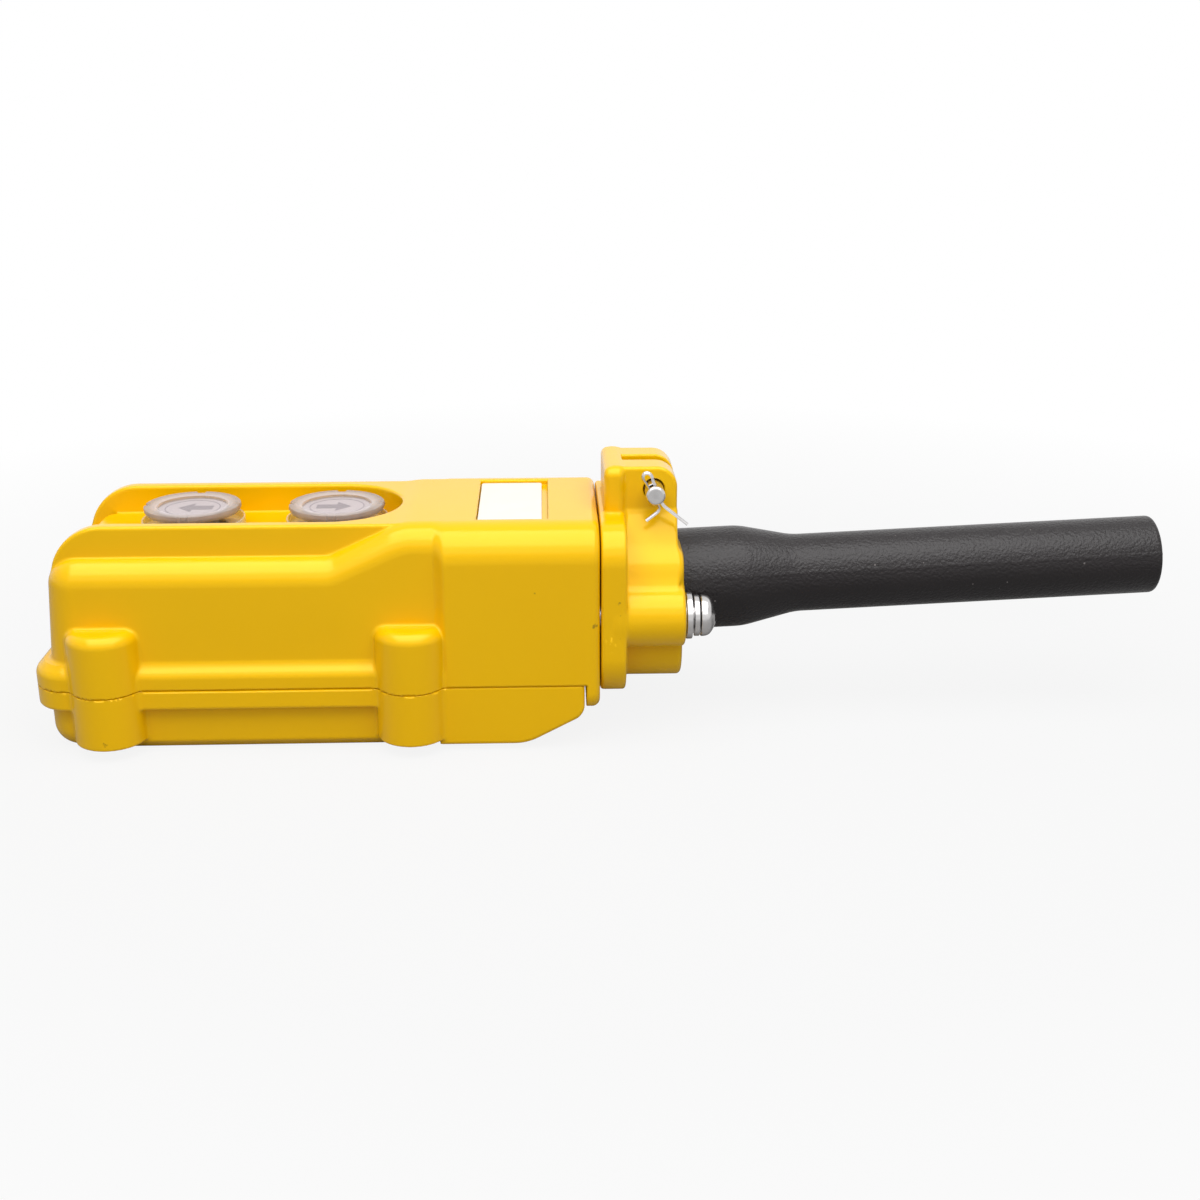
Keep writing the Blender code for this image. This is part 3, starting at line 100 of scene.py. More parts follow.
# Heights
NECK_TOP_Z = HOUSING_HIGH[2]
TAB_BOTTOM_Z = HOUSING_LOW[2]
COVER_FACE_Z = COVER_HIGH[2]
HOUSING_FACE_Z = COVER_FACE_Z + 0.3
SHOULDER_Z = NECK_TOP_Z - 8.4
WALL_TOP_Z = NECK_TOP_Z - 0.5
FLOOR_Z = NECK_TOP_Z - 8.0
ROOF_Z = FLOOR_Z - 3.0
RIM_TOP_Z = HOUSING_FACE_Z + 6.4
RIM_EDGE_Z = RIM_TOP_Z - 1.85
RIM_BOTTOM_Z = COVER_FACE_Z - 5.05
BOSS_TOP_Z = HOUSING_FACE_Z + 16.25
BOSS_BOTTOM_Z = COVER_FACE_Z - 14.05
SCREW_SEAT_Z = BOSS_BOTTOM_Z + 5.2
NECK_BASE_Z = 1.5
AXIS_Z = CAP_SCREW_Z + 2.5
BARREL_TOP_Z = AXIS_Z + 13.5
SLOT_FLOOR_Z = AXIS_Z + 22.5
ROOT_TOP_Z = AXIS_Z + 23.5

# Half widths and walls of the shells
BODY_HALF = 27.0
NECK_HALF = 29.7
RIM_HALF = 29.3
COVER_HALF = 26.5
SHELL_WALL = 3.0
CHANNEL_HALF = 17.9
CHANNEL_WALL = 3.7
BOSS_RADIUS = 9.3
LABEL_HALF = 19.25
LABEL_DEPTH = 1.6
GASKET_SEAT = 1.3
BARREL_HALF = 20.0
LUG_HALF = 13.0
EAR_HALF = 11.0
SLOT_HALF = 2.5
CAP_BOSS_RADIUS = 8.0

# Rounds and slopes of the shells
BODY_CORNER = 8.0
RIM_CORNER = 10.0
CAVITY_CORNER = 5.0
SEAT_CORNER = 11.7
TAB_ROUND, END_ROUND = 5.0, 2.0
NECK_STEP = 1.7
SHOULDER_ROUND, NECK_MORE_ROUND = 7.0, 2.5
WALL_END_ROUND = 13.8
BOSS_ROUND = 3.2
COVER_END_ROUND = 5.7
COVER_BEVEL = 2.4
END_LEAN, LEAN_HEIGHT = 0.07, 10.0
RIM_SLOPE = 0.925
ROOT_SLOPE = 0.65
LEDGE_CORNER, LEDGE_DROP = 6.0, 5.0

# Radii of holes, and the inserts' depth
BUTTON_HOLE = 10.5
INSERT_HOLE, INSERT_DEPTH = 3.6, 10.1
COVER_SCREW_HOLE, COVER_HEAD_HOLE = 2.3, 3.9
CAP_SCREW_HOLE = 3.3
CABLE_HOLE = 8.2
BOOT_HOLE, BOOT_FOOT_HOLE = 14.4, 17.1
PIN_HOLE = 2.8

# Button caps: their radius, and radii over which the rim turns dense and then takes a painted
# beige-grey for the parts and the shaded hollow seen through it
CAP_RADIUS = 12.65
DENSE_RADII = 8.7, 9.4
SEEN_THROUGH_SHADE_RADII = 9.6, 11.4
DENSE_ALPHA = 0.66

GRID = 0.5
FINE_GRID = 0.2


def hex_colour(text):
    """Linear colour of an sRGB hex value."""
    parts = [int(text[i:i + 2], 16) / 255 for i in (1, 3, 5)]
    return (*[c / 12.92 if c <= 0.04045 else ((c + 0.055) / 1.055) ** 2.4 for c in parts], 1.0)


# --- Distance fields ---

def box_corner(a, b, radius):
    """Distance to where two distances are both negative, with the meeting edge rounded."""
    a, b = a + radius, b + radius
    return np.minimum(np.maximum(a, b), 0) + np.hypot(np.maximum(a, 0), np.maximum(b, 0)) - radius


def between(w, low, high):
    return np.abs(w - (low + high) / 2) - (high - low) / 2


def rounded_outline(u, v, u_range, v_range, corner):
    """Rectangle in u and v with rounded corners. The corner's radius may vary over the plane."""
    return box_corner(between(u, *u_range), between(v, *v_range), corner)


def merged(a, b, fillet):
    """Union of two solids with a fillet along the inner corner where they meet."""
    share = np.clip(0.5 + 0.5 * (b - a) / fillet, 0, 1)
    return b + (a - b) * share - fillet * share * (1 - share)


def trimmed(a, b, ease):
    """Common part of two solids, with the edge where they meet eased."""
    return -merged(-a, -b, ease)


def carved(a, tool, ease):
    """Solid a less the tool, with the edge of the cut eased."""
    return -merged(-a, tool, ease)


def ease_in(w, start, end):
    """0 before start, 1 after end and smooth between."""
    share = np.clip((w - start) / (end - start), 0, 1)
    return share * share * (3 - 2 * share)


def slope_of(field, points, reach=0.02):
    """Gradient of a field at points."""
    columns = []
    for axis in range(3):
        ahead, behind = points.copy(), points.copy()
        ahead[:, axis] += reach
        behind[:, axis] -= reach
        columns.append((field(*ahead.T) - field(*behind.T)) / (2 * reach))
    return np.stack(columns, axis=1)


def moulded(name, field, low, high, step=GRID):
    """Mesh of a field's surface: one vertex in each grid cell that it crosses, drawn onto it."""
    axes = [np.arange(a - 2 * step, b + 3 * step, step) for a, b in zip(low, high)]
    values = field(axes[0][:, None, None], axes[1][None, :, None], axes[2][None, None, :])
    inside = values < 0
    corners = [np.array((i, j, k)) for i in (0, 1) for j in (0, 1) for k in (0, 1)]
    shape = np.array(values.shape) - 1
    filled = sum(inside[i:i + shape[0], j:j + shape[1], k:k + shape[2]].astype(np.int8)
                 for i, j, k in corners)
    cells = np.argwhere((filled > 0) & (filled < 8))
    number = np.full(filled.shape, -1)
    number[tuple(cells.T)] = np.arange(len(cells))
    total, hits = np.zeros((len(cells), 3)), np.zeros(len(cells))
    for start in corners:
        for axis in np.flatnonzero(start == 0):
            end = start.copy()
            end[axis] = 1
            a, b = values[tuple((cells + start).T)], values[tuple((cells + end).T)]
            cross = (a < 0) != (b < 0)
            point = (cells + start).astype(float)
            point[:, axis] += np.where(cross, a / np.where(cross, a - b, 1), 0)
            total += point * cross[:, None]
            hits += cross
    points = np.array([a[0] for a in axes]) + step * total / hits[:, None]
    for _ in range(3):
        slope = slope_of(field, points)
        steep = np.maximum((slope ** 2).sum(axis=1), 0.25)
        move = np.clip(field(*points.T) / steep, -step / 2, step / 2)
        points -= move[:, None] * slope
    quads = []
    for axis in range(3):
        u, v = np.eye(3, dtype=int)[(axis + 1) % 3], np.eye(3, dtype=int)[(axis + 2) % 3]
        near = np.moveaxis(inside, axis, 0)[:-1]
        far = np.moveaxis(inside, axis, 0)[1:]
        edges = np.moveaxis(near != far, 0, axis)
        outward = np.moveaxis(near, 0, axis)
        at = np.argwhere(edges)
        ring = np.stack([number[tuple((at - d).T)] for d in (0 * u, u, u + v, v)], axis=1)
        keep = outward[tuple(at.T)]
        quads += ring[keep].tolist() + ring[~keep][:, ::-1].tolist()
    mesh = bpy.data.meshes.new(name)
    mesh.from_pydata((points * MM).tolist(), [], quads)
    mesh.polygons.foreach_set("use_smooth", np.ones(len(quads), bool))
    normals = slope_of(field, points)
    normals /= np.maximum(np.linalg.norm(normals, axis=1), 1e-9)[:, None]
    mesh.normals_split_custom_set_from_vertices(normals.tolist())
    return placed(name, mesh)


def placed(name, mesh):
    piece = bpy.data.objects.new(name, mesh)
    bpy.context.scene.collection.objects.link(piece)
    return piece


def stands_for(piece, nodes, body, finish):
    """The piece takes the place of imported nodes, on their body and with a finish."""
    piece.data.materials.clear()
    piece.data.materials.append(finish)
    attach(piece, body)
    if nodes:
        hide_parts(*nodes)
    return piece


# --- Turned, swept and flat pieces ---

def solid(name, points, faces):
    """Mesh of points in millimetres, smooth but for its sharp edges."""
    mesh = bpy.data.meshes.new(name)
    mesh.from_pydata([tuple(np.array(p) * MM) for p in points], [], faces)
    work = bmesh.new()
    work.from_mesh(mesh)
    bmesh.ops.recalc_face_normals(work, faces=work.faces)
    work.to_mesh(mesh)
    work.free()
    mesh.shade_smooth()
    mesh.set_sharp_from_angle(angle=math.radians(38))
    return placed(name, mesh)


def eased(points, radius, closed=False, steps=4):
    """Outline with each corner rounded, as far as the sides beside it allow."""
    result = []
    for i, point in enumerate(points):
        if not closed and i in (0, len(points) - 1):
            result.append(tuple(point))
            continue
        here = np.array(point, float)
        sides = [np.array(points[j % len(points)], float) - here for j in (i - 1, i + 1)]
        long = [np.linalg.norm(s) for s in sides]
        reach = min(radius, 0.45 * long[0], 0.45 * long[1])
        start, end = (here + s / size * reach for s, size in zip(sides, long))
        for share in np.linspace(0, 1, steps + 1):
            result.append(tuple((1 - share) ** 2 * start + 2 * share * (1 - share) * here
                                + share ** 2 * end))
    return result


def lathe(name, profile, place, sides=96, closed=False):
    """Profile of (along, radius) points turned about an axis. A closed profile makes a ring."""
    points, rings = [], []
    for along, radius in profile:
        if radius < 1e-6:
            rings.append([len(points)] * sides)
            points.append(place(along, 0.0, 0.0))
            continue
        rings.append(list(range(len(points), len(points) + sides)))
        for k in range(sides):
            angle = 2 * math.pi * k / sides
            points.append(place(along, radius * math.cos(angle), radius * math.sin(angle)))
    faces = []
    for a, b in list(zip(rings, rings[1:])) + ([(rings[-1], rings[0])] if closed else []):
        for k in range(sides):
            turn = (k + 1) % sides
            faces.append(list(dict.fromkeys((a[k], a[turn], b[turn], b[k]))))
    return solid(name, points, faces)


def ring_faces(rings, count):
    """Faces between rings of points that follow each other, with the same count in each."""
    faces = []
    for i in range(rings - 1):
        for k in range(count):
            turn = (k + 1) % count
            faces.append([i * count + k, i * count + turn,
                          (i + 1) * count + turn, (i + 1) * count + k])
    return faces


def swept(name, path, section, lay):
    """Section of (out, across) points carried along a flat path and closed at both ends."""
    path = np.array(path, float)
    ahead = np.gradient(path, axis=0)
    ahead /= np.linalg.norm(ahead, axis=1)[:, None]
    points, count = [], len(section)
    for i, (spot, (du, dv)) in enumerate(zip(path, ahead)):
        for out, across in section:
            points.append(lay(spot + np.array((-dv, du)) * out, across, i / (len(path) - 1)))
    ends = [list(range(count)), list(range(len(points) - count, len(points)))]
    return solid(name, points, ends + ring_faces(len(path), count))


def slab(name, outline, low, high, ease):
    """Flat plate with eased edges. The outline runs anticlockwise."""
    outline = np.array(outline, float)
    ahead = np.roll(outline, -1, axis=0) - outline
    ahead /= np.linalg.norm(ahead, axis=1)[:, None]
    normal = np.stack((ahead[:, 1], -ahead[:, 0]), axis=1)
    outward = normal + np.roll(normal, 1, axis=0)
    outward /= np.maximum((outward ** 2).sum(axis=1), 0.5)[:, None] / 2
    inner = outline - outward * ease
    count, points = len(outline), []
    loops = (inner, low), (outline, low + ease), (outline, high - ease), (inner, high)
    for loop, height in loops:
        points += [(u, v, height) for u, v in loop]
    ends = [list(range(count)), list(range(3 * count, 4 * count))]
    return solid(name, points, ends + ring_faces(len(loops), count))


# --- The moulded shells ---

def rim_outline(x, y):
    """Distance in plan to the rim that runs round both shells."""
    return rounded_outline(x, y, (X_RIM + 0.5, X_NECK + 1), (-RIM_HALF, RIM_HALF),
                           np.where(x < X_SQUARE, RIM_CORNER, 0.5))


def boss_outline(x, side):
    """Distance in plan to the nearest screw boss."""
    return np.hypot(np.minimum(np.abs(x - BOSS_X[0]), np.abs(x - BOSS_X[1])),
                    side - BOSS_Y) - BOSS_RADIUS


def front_housing_field(x, y, z):
    """Upper shell: body, ramp, neck, channel walls, rim and bosses, less its hollows and holes."""
    side = np.abs(y)
    lean = x - END_LEAN * (z - HOUSING_FACE_Z - LEAN_HEIGHT)
    step = ease_in(x, X_NECK - NECK_STEP, X_NECK + NECK_STEP)
    half = BODY_HALF + (NECK_HALF - BODY_HALF) * step
    plan = box_corner(between(lean, X_BODY, X_END + 20), side - half,
                      np.where(x < X_SQUARE, BODY_CORNER, 0.1))
    run, rise = X_RAMP_HEAD - X_RAMP_FOOT, NECK_TOP_Z - SHOULDER_Z
    ramp = ((z - SHOULDER_Z) * run - (x - X_RAMP_FOOT) * rise) / math.hypot(run, rise)
    ramp = trimmed(ramp, z - NECK_TOP_Z, 1.5)
    body = box_corner(plan, merged(z - SHOULDER_Z, ramp, 0.7),
                      SHOULDER_ROUND + NECK_MORE_ROUND * step)
    wall = rounded_outline(x, z, (X_WALL, X_CHANNEL_END + CHANNEL_WALL),
                           (WALL_TOP_Z - 30, WALL_TOP_Z),
                           np.where((x < X_BODY + 30) & (z > WALL_TOP_Z - 15),
                                    WALL_END_ROUND, 0.8))
    body = merged(body, box_corner(wall, side - CHANNEL_HALF - CHANNEL_WALL, 0.8), 0.5)
    edge = rim_outline(x, y)
    slope = (z - RIM_EDGE_Z + (edge + 0.3) * RIM_SLOPE) / math.hypot(1, RIM_SLOPE)
    rim = box_corner(edge, np.maximum(slope, z - RIM_TOP_Z), 0.9)
    body = merged(body, rim, 1.2)
    tab = box_corner(side - NECK_HALF, TAB_BOTTOM_Z - z, TAB_ROUND)
    shell = box_corner(np.maximum(body, tab), x - X_END, END_ROUND)
    boss = box_corner(boss_outline(x, side), z - BOSS_TOP_Z, BOSS_ROUND)
    shell = merged(shell, boss, 1.0)
    cavity = rounded_outline(x, y, (X_BODY + SHELL_WALL, X_INNER_END),
                             (SHELL_WALL - BODY_HALF, BODY_HALF - SHELL_WALL), CAVITY_CORNER)
    roof = np.where(x < X_CHANNEL_END + SHELL_WALL, ROOF_Z, NECK_TOP_Z - SHELL_WALL - 0.2)
    roof = np.where(x < X_BODY + 10, ROOF_Z - 5.0, roof)
    cavity = np.maximum(cavity, z - roof)
    # The cavity leaves the bosses standing.
    boss = np.maximum(boss_outline(x, side), z - BOSS_TOP_Z)
    shell = carved(shell, np.maximum(cavity, -boss), 0.4)
    stadium = np.hypot(np.maximum(x - X_CHANNEL_END + CHANNEL_HALF, 0), y) - CHANNEL_HALF
    # The channel's floor stops short of the walls' ends, with rounded corners.
    ledge = rounded_outline(x, y, (X_LEDGE, X_END), (-CHANNEL_HALF - 1, CHANNEL_HALF + 1),
                            LEDGE_CORNER)
    floor = np.minimum(FLOOR_Z - z, np.maximum(FLOOR_Z - LEDGE_DROP - z, -ledge))
    shell = carved(shell, np.maximum(stadium, floor), 0.9)
    for button_x in BUTTON_X:
        hole = np.hypot(x - button_x, y) - BUTTON_HOLE
        shell = carved(shell, np.maximum(hole, ROOF_Z - 1 - z), 0.3)
    recess = np.maximum(between(x, *X_LABEL), side - LABEL_HALF)
    shell = carved(shell, np.maximum(recess, NECK_TOP_Z - LABEL_DEPTH - z), 0.4)
    shell = carved(shell, np.maximum(x - X_INNER_END, z - HOUSING_FACE_Z), 0.15)
    pocket = np.maximum(boss_outline(x, side) + BOSS_RADIUS - INSERT_HOLE,
                        z - HOUSING_FACE_Z - INSERT_DEPTH)
    shell = carved(shell, pocket, 0.3)
    cable_way = np.maximum(np.hypot(y, z - AXIS_Z) - CABLE_HOLE, X_INNER_END - 1 - x)
    screw_way = np.maximum(np.hypot(side - CAP_SCREW_Y, z - CAP_SCREW_Z) - CAP_SCREW_HOLE,
                           X_INNER_END - 1 - x)
    return carved(shell, np.minimum(cable_way, screw_way), 0.3)


def rear_cover_field(x, y, z):
    """Lower shell: tray, tapered foot, rim and bosses, less its hollows and holes."""
    side = np.abs(y)
    plan = rounded_outline(x, y, (X_BODY - 1.5, X_COVER_FOOT), (-COVER_HALF, COVER_HALF),
                           np.where(x < X_SQUARE, BODY_CORNER, 0.1))
    # Bevelled along the sides and rounded at the button end
    cover = box_corner(plan, -z, 0.3 + COVER_END_ROUND * (1 - ease_in(x, X_BODY + 6, BOSS_X[0])))
    cover = trimmed(cover, (plan - z + COVER_BEVEL) / math.sqrt(2), 0.4)
    run, rise = X_COVER_END - X_COVER_FOOT, 7.8
    taper = ((x - X_COVER_FOOT) * rise - (z - NECK_BASE_Z) * run) / math.hypot(run, rise)
    foot = trimmed(NECK_BASE_Z - z, taper, 1.5)
    foot = box_corner(foot, between(x, X_NECK - 1, X_COVER_END),
                      np.where(x > X_NECK + 20, 2.2, 0.4))
    cover = merged(cover, box_corner(foot, side - NECK_HALF, 1.0), 0.5)
    rim = box_corner(rim_outline(x, y), RIM_BOTTOM_Z - z, 0.8)
    cover = merged(cover, rim, 0.8)
    cover = merged(cover, box_corner(boss_outline(x, side), BOSS_BOTTOM_Z - z, 0.6), 1.0)
    cavity = rounded_outline(x, y, (X_BODY + SHELL_WALL, X_COVER_FOOT - SHELL_WALL),
                             (SHELL_WALL - COVER_HALF, COVER_HALF - SHELL_WALL),
                             CAVITY_CORNER)
    cavity = np.maximum(cavity, SHELL_WALL - z)
    taper_room = np.maximum(
        np.maximum(between(x, X_COVER_FOOT - 6, X_COVER_END - SHELL_WALL),
                   side - COVER_HALF + SHELL_WALL), NECK_BASE_Z + rise + SHELL_WALL - z)
    boss = np.maximum(boss_outline(x, side), BOSS_BOTTOM_Z - z)
    cover = carved(cover, np.maximum(np.minimum(cavity, taper_room), -boss), 0.4)
    cover = trimmed(cover, z - HOUSING_FACE_Z + 0.1, 0.15)
    seat = rounded_outline(x, y, (X_RIM + 1.0, X_COVER_END - 1.0),
                           (1.0 - RIM_HALF, RIM_HALF - 1.0),
                           np.where(x < X_SQUARE, SEAT_CORNER, 2.0))
    seat = np.minimum(seat, boss_outline(x, side) + BOSS_RADIUS - 6.5)
    cover = carved(cover, np.maximum(seat, COVER_FACE_Z - GASKET_SEAT - z), 0.2)
    head_way = np.maximum(boss_outline(x, side) + BOSS_RADIUS - COVER_HEAD_HOLE, z - SCREW_SEAT_Z)
    shank_way = boss_outline(x, side) + BOSS_RADIUS - COVER_SCREW_HOLE
    return carved(cover, np.minimum(head_way, shank_way), 0.3)


def cable_cap_field(x, y, z):
    """Cable cap: flange, lug, square barrel, ears and screw bosses, less its slot and holes."""
    side = np.abs(y)
    x_back, x_face, x_ear = X_CAP - 3.3, X_CAP_END - 0.25, X_CAP_END - 1.5
    flange = rounded_outline(y, z, (-CAP_HIGH[1], CAP_HIGH[1]), (CAP_LOW[2], NECK_TOP_Z - 0.7),
                             np.where(z < AXIS_Z, 12.0, 10.0))
    cap = box_corner(flange, between(x, X_FLANGE, X_CAP), 0.9)
    lug = rounded_outline(y, z, (-LUG_HALF, LUG_HALF), (AXIS_Z, CAP_HIGH[2]), 2.5)
    cap = merged(cap, box_corner(lug, between(x, X_FLANGE + 1.3, X_CAP - 0.1), 1.8), 0.8)
    shell = rounded_outline(y, z, (-BARREL_HALF, BARREL_HALF), (CAP_LOW[2] + 1.2, BARREL_TOP_Z),
                            np.where(z < AXIS_Z - 4.5, 10.0, 5.0))
    barrel = box_corner(shell, between(x, x_back, x_face), 1.2)
    slope = (side - EAR_HALF - (ROOT_TOP_Z - z) * ROOT_SLOPE) / math.hypot(1, ROOT_SLOPE)
    root = trimmed(np.maximum(slope, AXIS_Z - z), z - ROOT_TOP_Z, 0.8)
    root = box_corner(root, between(x, x_back, x_ear), 0.8)
    barrel = merged(barrel, root, 2.5)
    ear = rounded_outline(x, z, (x_back, x_ear), (AXIS_Z, CAP_HIGH[2] - 0.2),
                          np.where((x > X_CAP + 4) & (z > AXIS_Z + 10), 5.5, 0.8))
    barrel = merged(barrel, box_corner(ear, side - EAR_HALF, 0.9), 0.8)
    screw_hole = np.hypot(side - CAP_SCREW_Y, z - CAP_SCREW_Z)
    boss = box_corner(screw_hole - CAP_BOSS_RADIUS, between(x, x_back, X_CAP_END), 1.2)
    barrel = merged(barrel, boss, 0.9)
    cap = merged(cap, barrel, 1.2)
    slot = np.maximum(np.maximum(side - SLOT_HALF, SLOT_FLOOR_Z - z), X_CAP - 0.1 - x)
    cap = carved(cap, slot, 0.6)
    cap = carved(cap, np.maximum(np.hypot(x - PIN_X, z - PIN_Z) - PIN_HOLE, side - 25), 0.3)
    ring = np.hypot(y, z - AXIS_Z)
    boot_way = np.minimum(np.maximum(ring - BOOT_FOOT_HOLE, x - X_FLANGE - 5.3), ring - BOOT_HOLE)
    return carved(cap, np.minimum(boot_way, screw_hole - CAP_SCREW_HOLE), 0.3)


# --- Materials ---

def add_node(tree, kind, inputs=None, **settings):
    """Adds a node with its settings. An input is a value, or the socket that it is linked to."""
    made = tree.nodes.new(kind)
    for name, value in settings.items():
        setattr(made, name, value)
    for name, value in (inputs or {}).items():
        if isinstance(value, bpy.types.NodeSocket):
            tree.links.new(value, made.inputs[name])
        else:
            made.inputs[name].default_value = value
    return made


def new_finish(name):
    """Empty material: its tree, its shader and the place of each point in the part's frame."""
    finish = bpy.data.materials.new(name)
    finish.use_nodes = True
    tree = finish.node_tree
    shader = tree.nodes["Principled BSDF"]
    place = add_node(tree, "ShaderNodeTexCoord").outputs["Object"]
    return finish, tree, shader, place


def per_mm(size):
    """Pattern scale that gives features of a size in millimetres."""
    return 1 / (size * MM)


# Marks of use: centre and radius in millimetres, and colour
SCUFFS = [((-4.1, -29.5, 34.1), 1.1, "#8a6a1c"), ((2.2, -29.4, 39.9), 0.9, "#9a7418"),
          ((2.5, -29.4, 36.6), 0.6, "#a37a16"), ((2.6, -29.2, 30.2), 0.5, "#a98012"),
          ((2.4, -13.0, 71.0), 0.9, "#8d6428"), ((-129.3, -34.6, 5.2), 0.9, "#7a5310"),
          ((-19.2, -29.7, 43.2), 0.45, "#8f6c14")]


def moulded_yellow_abs():
    # Injection-moulded ABS: deep even yellow, a semi-gloss skin with faint flow mottling, a fine
    # orange peel that softens reflections, pale rubbed spots on raised edges and a few scuffs.
    finish, tree, shader, place = new_finish("moulded_yellow_abs")
    flow = add_node(tree, "ShaderNodeTexNoise", {"Vector": place, "Scale": per_mm(40),
                                                 "Detail": 3.0})
    tone = add_node(tree, "ShaderNodeMix", {0: flow.outputs["Fac"], 6: hex_colour("#eab500"),
                                            7: hex_colour("#f0bc00")}, data_type="RGBA")
    rubbed = add_node(tree, "ShaderNodeTexNoise", {"Vector": place, "Scale": per_mm(5),
                                                   "Detail": 6.0, "Roughness": 0.7})
    patch = add_node(tree, "ShaderNodeMapRange", {"Value": rubbed.outputs["Fac"], "From Min": 0.62,
                                                  "From Max": 0.72, "To Max": 0.25})
    edge = add_node(tree, "ShaderNodeMapRange", {"Value": add_node(
        tree, "ShaderNodeNewGeometry").outputs["Pointiness"], "From Min": 0.53, "From Max": 0.6})
    worn = add_node(tree, "ShaderNodeMath", {0: patch.outputs["Result"], 1: edge.outputs["Result"]},
                    operation="MULTIPLY")
    colour = add_node(tree, "ShaderNodeMix", {
        0: worn.outputs["Value"], 6: tone.outputs[2], 7: hex_colour("#f7dc7a")},
        data_type="RGBA").outputs[2]
    torn = add_node(tree, "ShaderNodeTexNoise", {"Vector": place, "Scale": per_mm(0.9),
                                                 "Detail": 4.0})
    for centre, radius, tint in SCUFFS:
        away = add_node(tree, "ShaderNodeVectorMath", {0: place, 1: Vector(centre) * MM},
                        operation="DISTANCE")
        ragged = add_node(tree, "ShaderNodeMath", {
            0: torn.outputs["Fac"], 1: 2.4 * radius * MM, 2: away.outputs["Value"]},
            operation="MULTIPLY_ADD")
        mark = add_node(tree, "ShaderNodeMapRange", {
            "Value": ragged.outputs["Value"], "From Min": 1.5 * radius * MM,
            "From Max": 1.9 * radius * MM, "To Min": 0.75, "To Max": 0.0})
        colour = add_node(tree, "ShaderNodeMix", {
            0: mark.outputs["Result"], 6: colour, 7: hex_colour(tint)},
            data_type="RGBA").outputs[2]
    tree.links.new(colour, shader.inputs["Base Color"])
    haze = add_node(tree, "ShaderNodeTexNoise", {"Vector": place, "Scale": per_mm(9),
                                                 "Detail": 4.0})
    gloss = add_node(tree, "ShaderNodeMapRange", {"Value": haze.outputs["Fac"], "To Min": 0.15,
                                                  "To Max": 0.23})
    tree.links.new(gloss.outputs["Result"], shader.inputs["Roughness"])
    peel = add_node(tree, "ShaderNodeTexNoise", {"Vector": place, "Scale": per_mm(1.6),
                                                 "Detail": 2.0})
    bump = add_node(tree, "ShaderNodeBump", {"Height": peel.outputs["Fac"], "Strength": 0.04,
                                             "Distance": 0.3 * MM})
    tree.links.new(bump.outputs["Normal"], shader.inputs["Normal"])
    shader.inputs["IOR"].default_value = 1.5
    shader.inputs["Specular IOR Level"].default_value = 0.7
    shader.inputs["Specular Tint"].default_value = hex_colour("#ffe08a")
    return finish


def moulded_black_rubber():
    # Moulded rubber: charcoal with a broad dull sheen, a pebbled skin and a few dust specks.
    finish, tree, shader, place = new_finish("moulded_black_rubber")
    cloud = add_node(tree, "ShaderNodeTexNoise", {"Vector": place, "Scale": per_mm(14),
                                                  "Detail": 4.0})
    tone = add_node(tree, "ShaderNodeMix", {0: cloud.outputs["Fac"], 6: hex_colour("#171314"),
                                            7: hex_colour("#1e191a")}, data_type="RGBA")
    dust = add_node(tree, "ShaderNodeTexVoronoi", {"Vector": place, "Scale": per_mm(3.2),
                                                   "Randomness": 1.0})
    speck = add_node(tree, "ShaderNodeMapRange", {
        "Value": dust.outputs["Distance"], "From Min": 0.05, "From Max": 0.09, "To Min": 1.0,
        "To Max": 0.0})
    few = add_node(tree, "ShaderNodeMapRange", {"Value": dust.outputs["Color"], "From Min": 0.72,
                                                "From Max": 0.78})
    dusty = add_node(tree, "ShaderNodeMath", {0: speck.outputs["Result"], 1: few.outputs["Result"]},
                     operation="MULTIPLY")
    pale = add_node(tree, "ShaderNodeMath", {0: dusty.outputs["Value"], 1: 0.4},
                    operation="MULTIPLY")
    colour = add_node(tree, "ShaderNodeMix", {0: pale.outputs["Value"], 6: tone.outputs[2],
                                              7: hex_colour("#b8b0ae")}, data_type="RGBA")
    tree.links.new(colour.outputs[2], shader.inputs["Base Color"])
    shader.inputs["Roughness"].default_value = 0.3
    shader.inputs["Specular IOR Level"].default_value = 0.33
    # Coarser than the pebbles of real rubber, so that they show.
    pebble = add_node(tree, "ShaderNodeTexNoise", {"Vector": place, "Scale": per_mm(0.8),
                                                   "Detail": 3.0})
    bump = add_node(tree, "ShaderNodeBump", {"Height": pebble.outputs["Fac"], "Strength": 0.7,
                                             "Distance": 0.4 * MM})
    tree.links.new(bump.outputs["Normal"], shader.inputs["Normal"])
    return finish


def plated_metal(name, pale, dark, roughness):
    """Plated or turned metal: cloudy plating over fine tool marks."""
    finish, tree, shader, place = new_finish(name)
    cloud = add_node(tree, "ShaderNodeTexNoise", {"Vector": place, "Scale": per_mm(2.5),
                                                  "Detail": 5.0})
    tone = add_node(tree, "ShaderNodeMix", {0: cloud.outputs["Fac"], 6: hex_colour(dark),
                                            7: hex_colour(pale)}, data_type="RGBA")
    tree.links.new(tone.outputs[2], shader.inputs["Base Color"])
    gloss = add_node(tree, "ShaderNodeMapRange", {
        "Value": cloud.outputs["Fac"], "To Min": roughness * 0.7, "To Max": roughness * 1.3})
    tree.links.new(gloss.outputs["Result"], shader.inputs["Roughness"])
    # Coarser than real tool marks, so that they show.
    marks = add_node(tree, "ShaderNodeTexNoise", {"Vector": place, "Scale": per_mm(0.8),
                                                  "Detail": 2.0})
    bump = add_node(tree, "ShaderNodeBump", {"Height": marks.outputs["Fac"], "Strength": 0.08,
                                             "Distance": 0.1 * MM})
    tree.links.new(bump.outputs["Normal"], shader.inputs["Normal"])
    shader.inputs["Metallic"].default_value = 1.0
    return finish


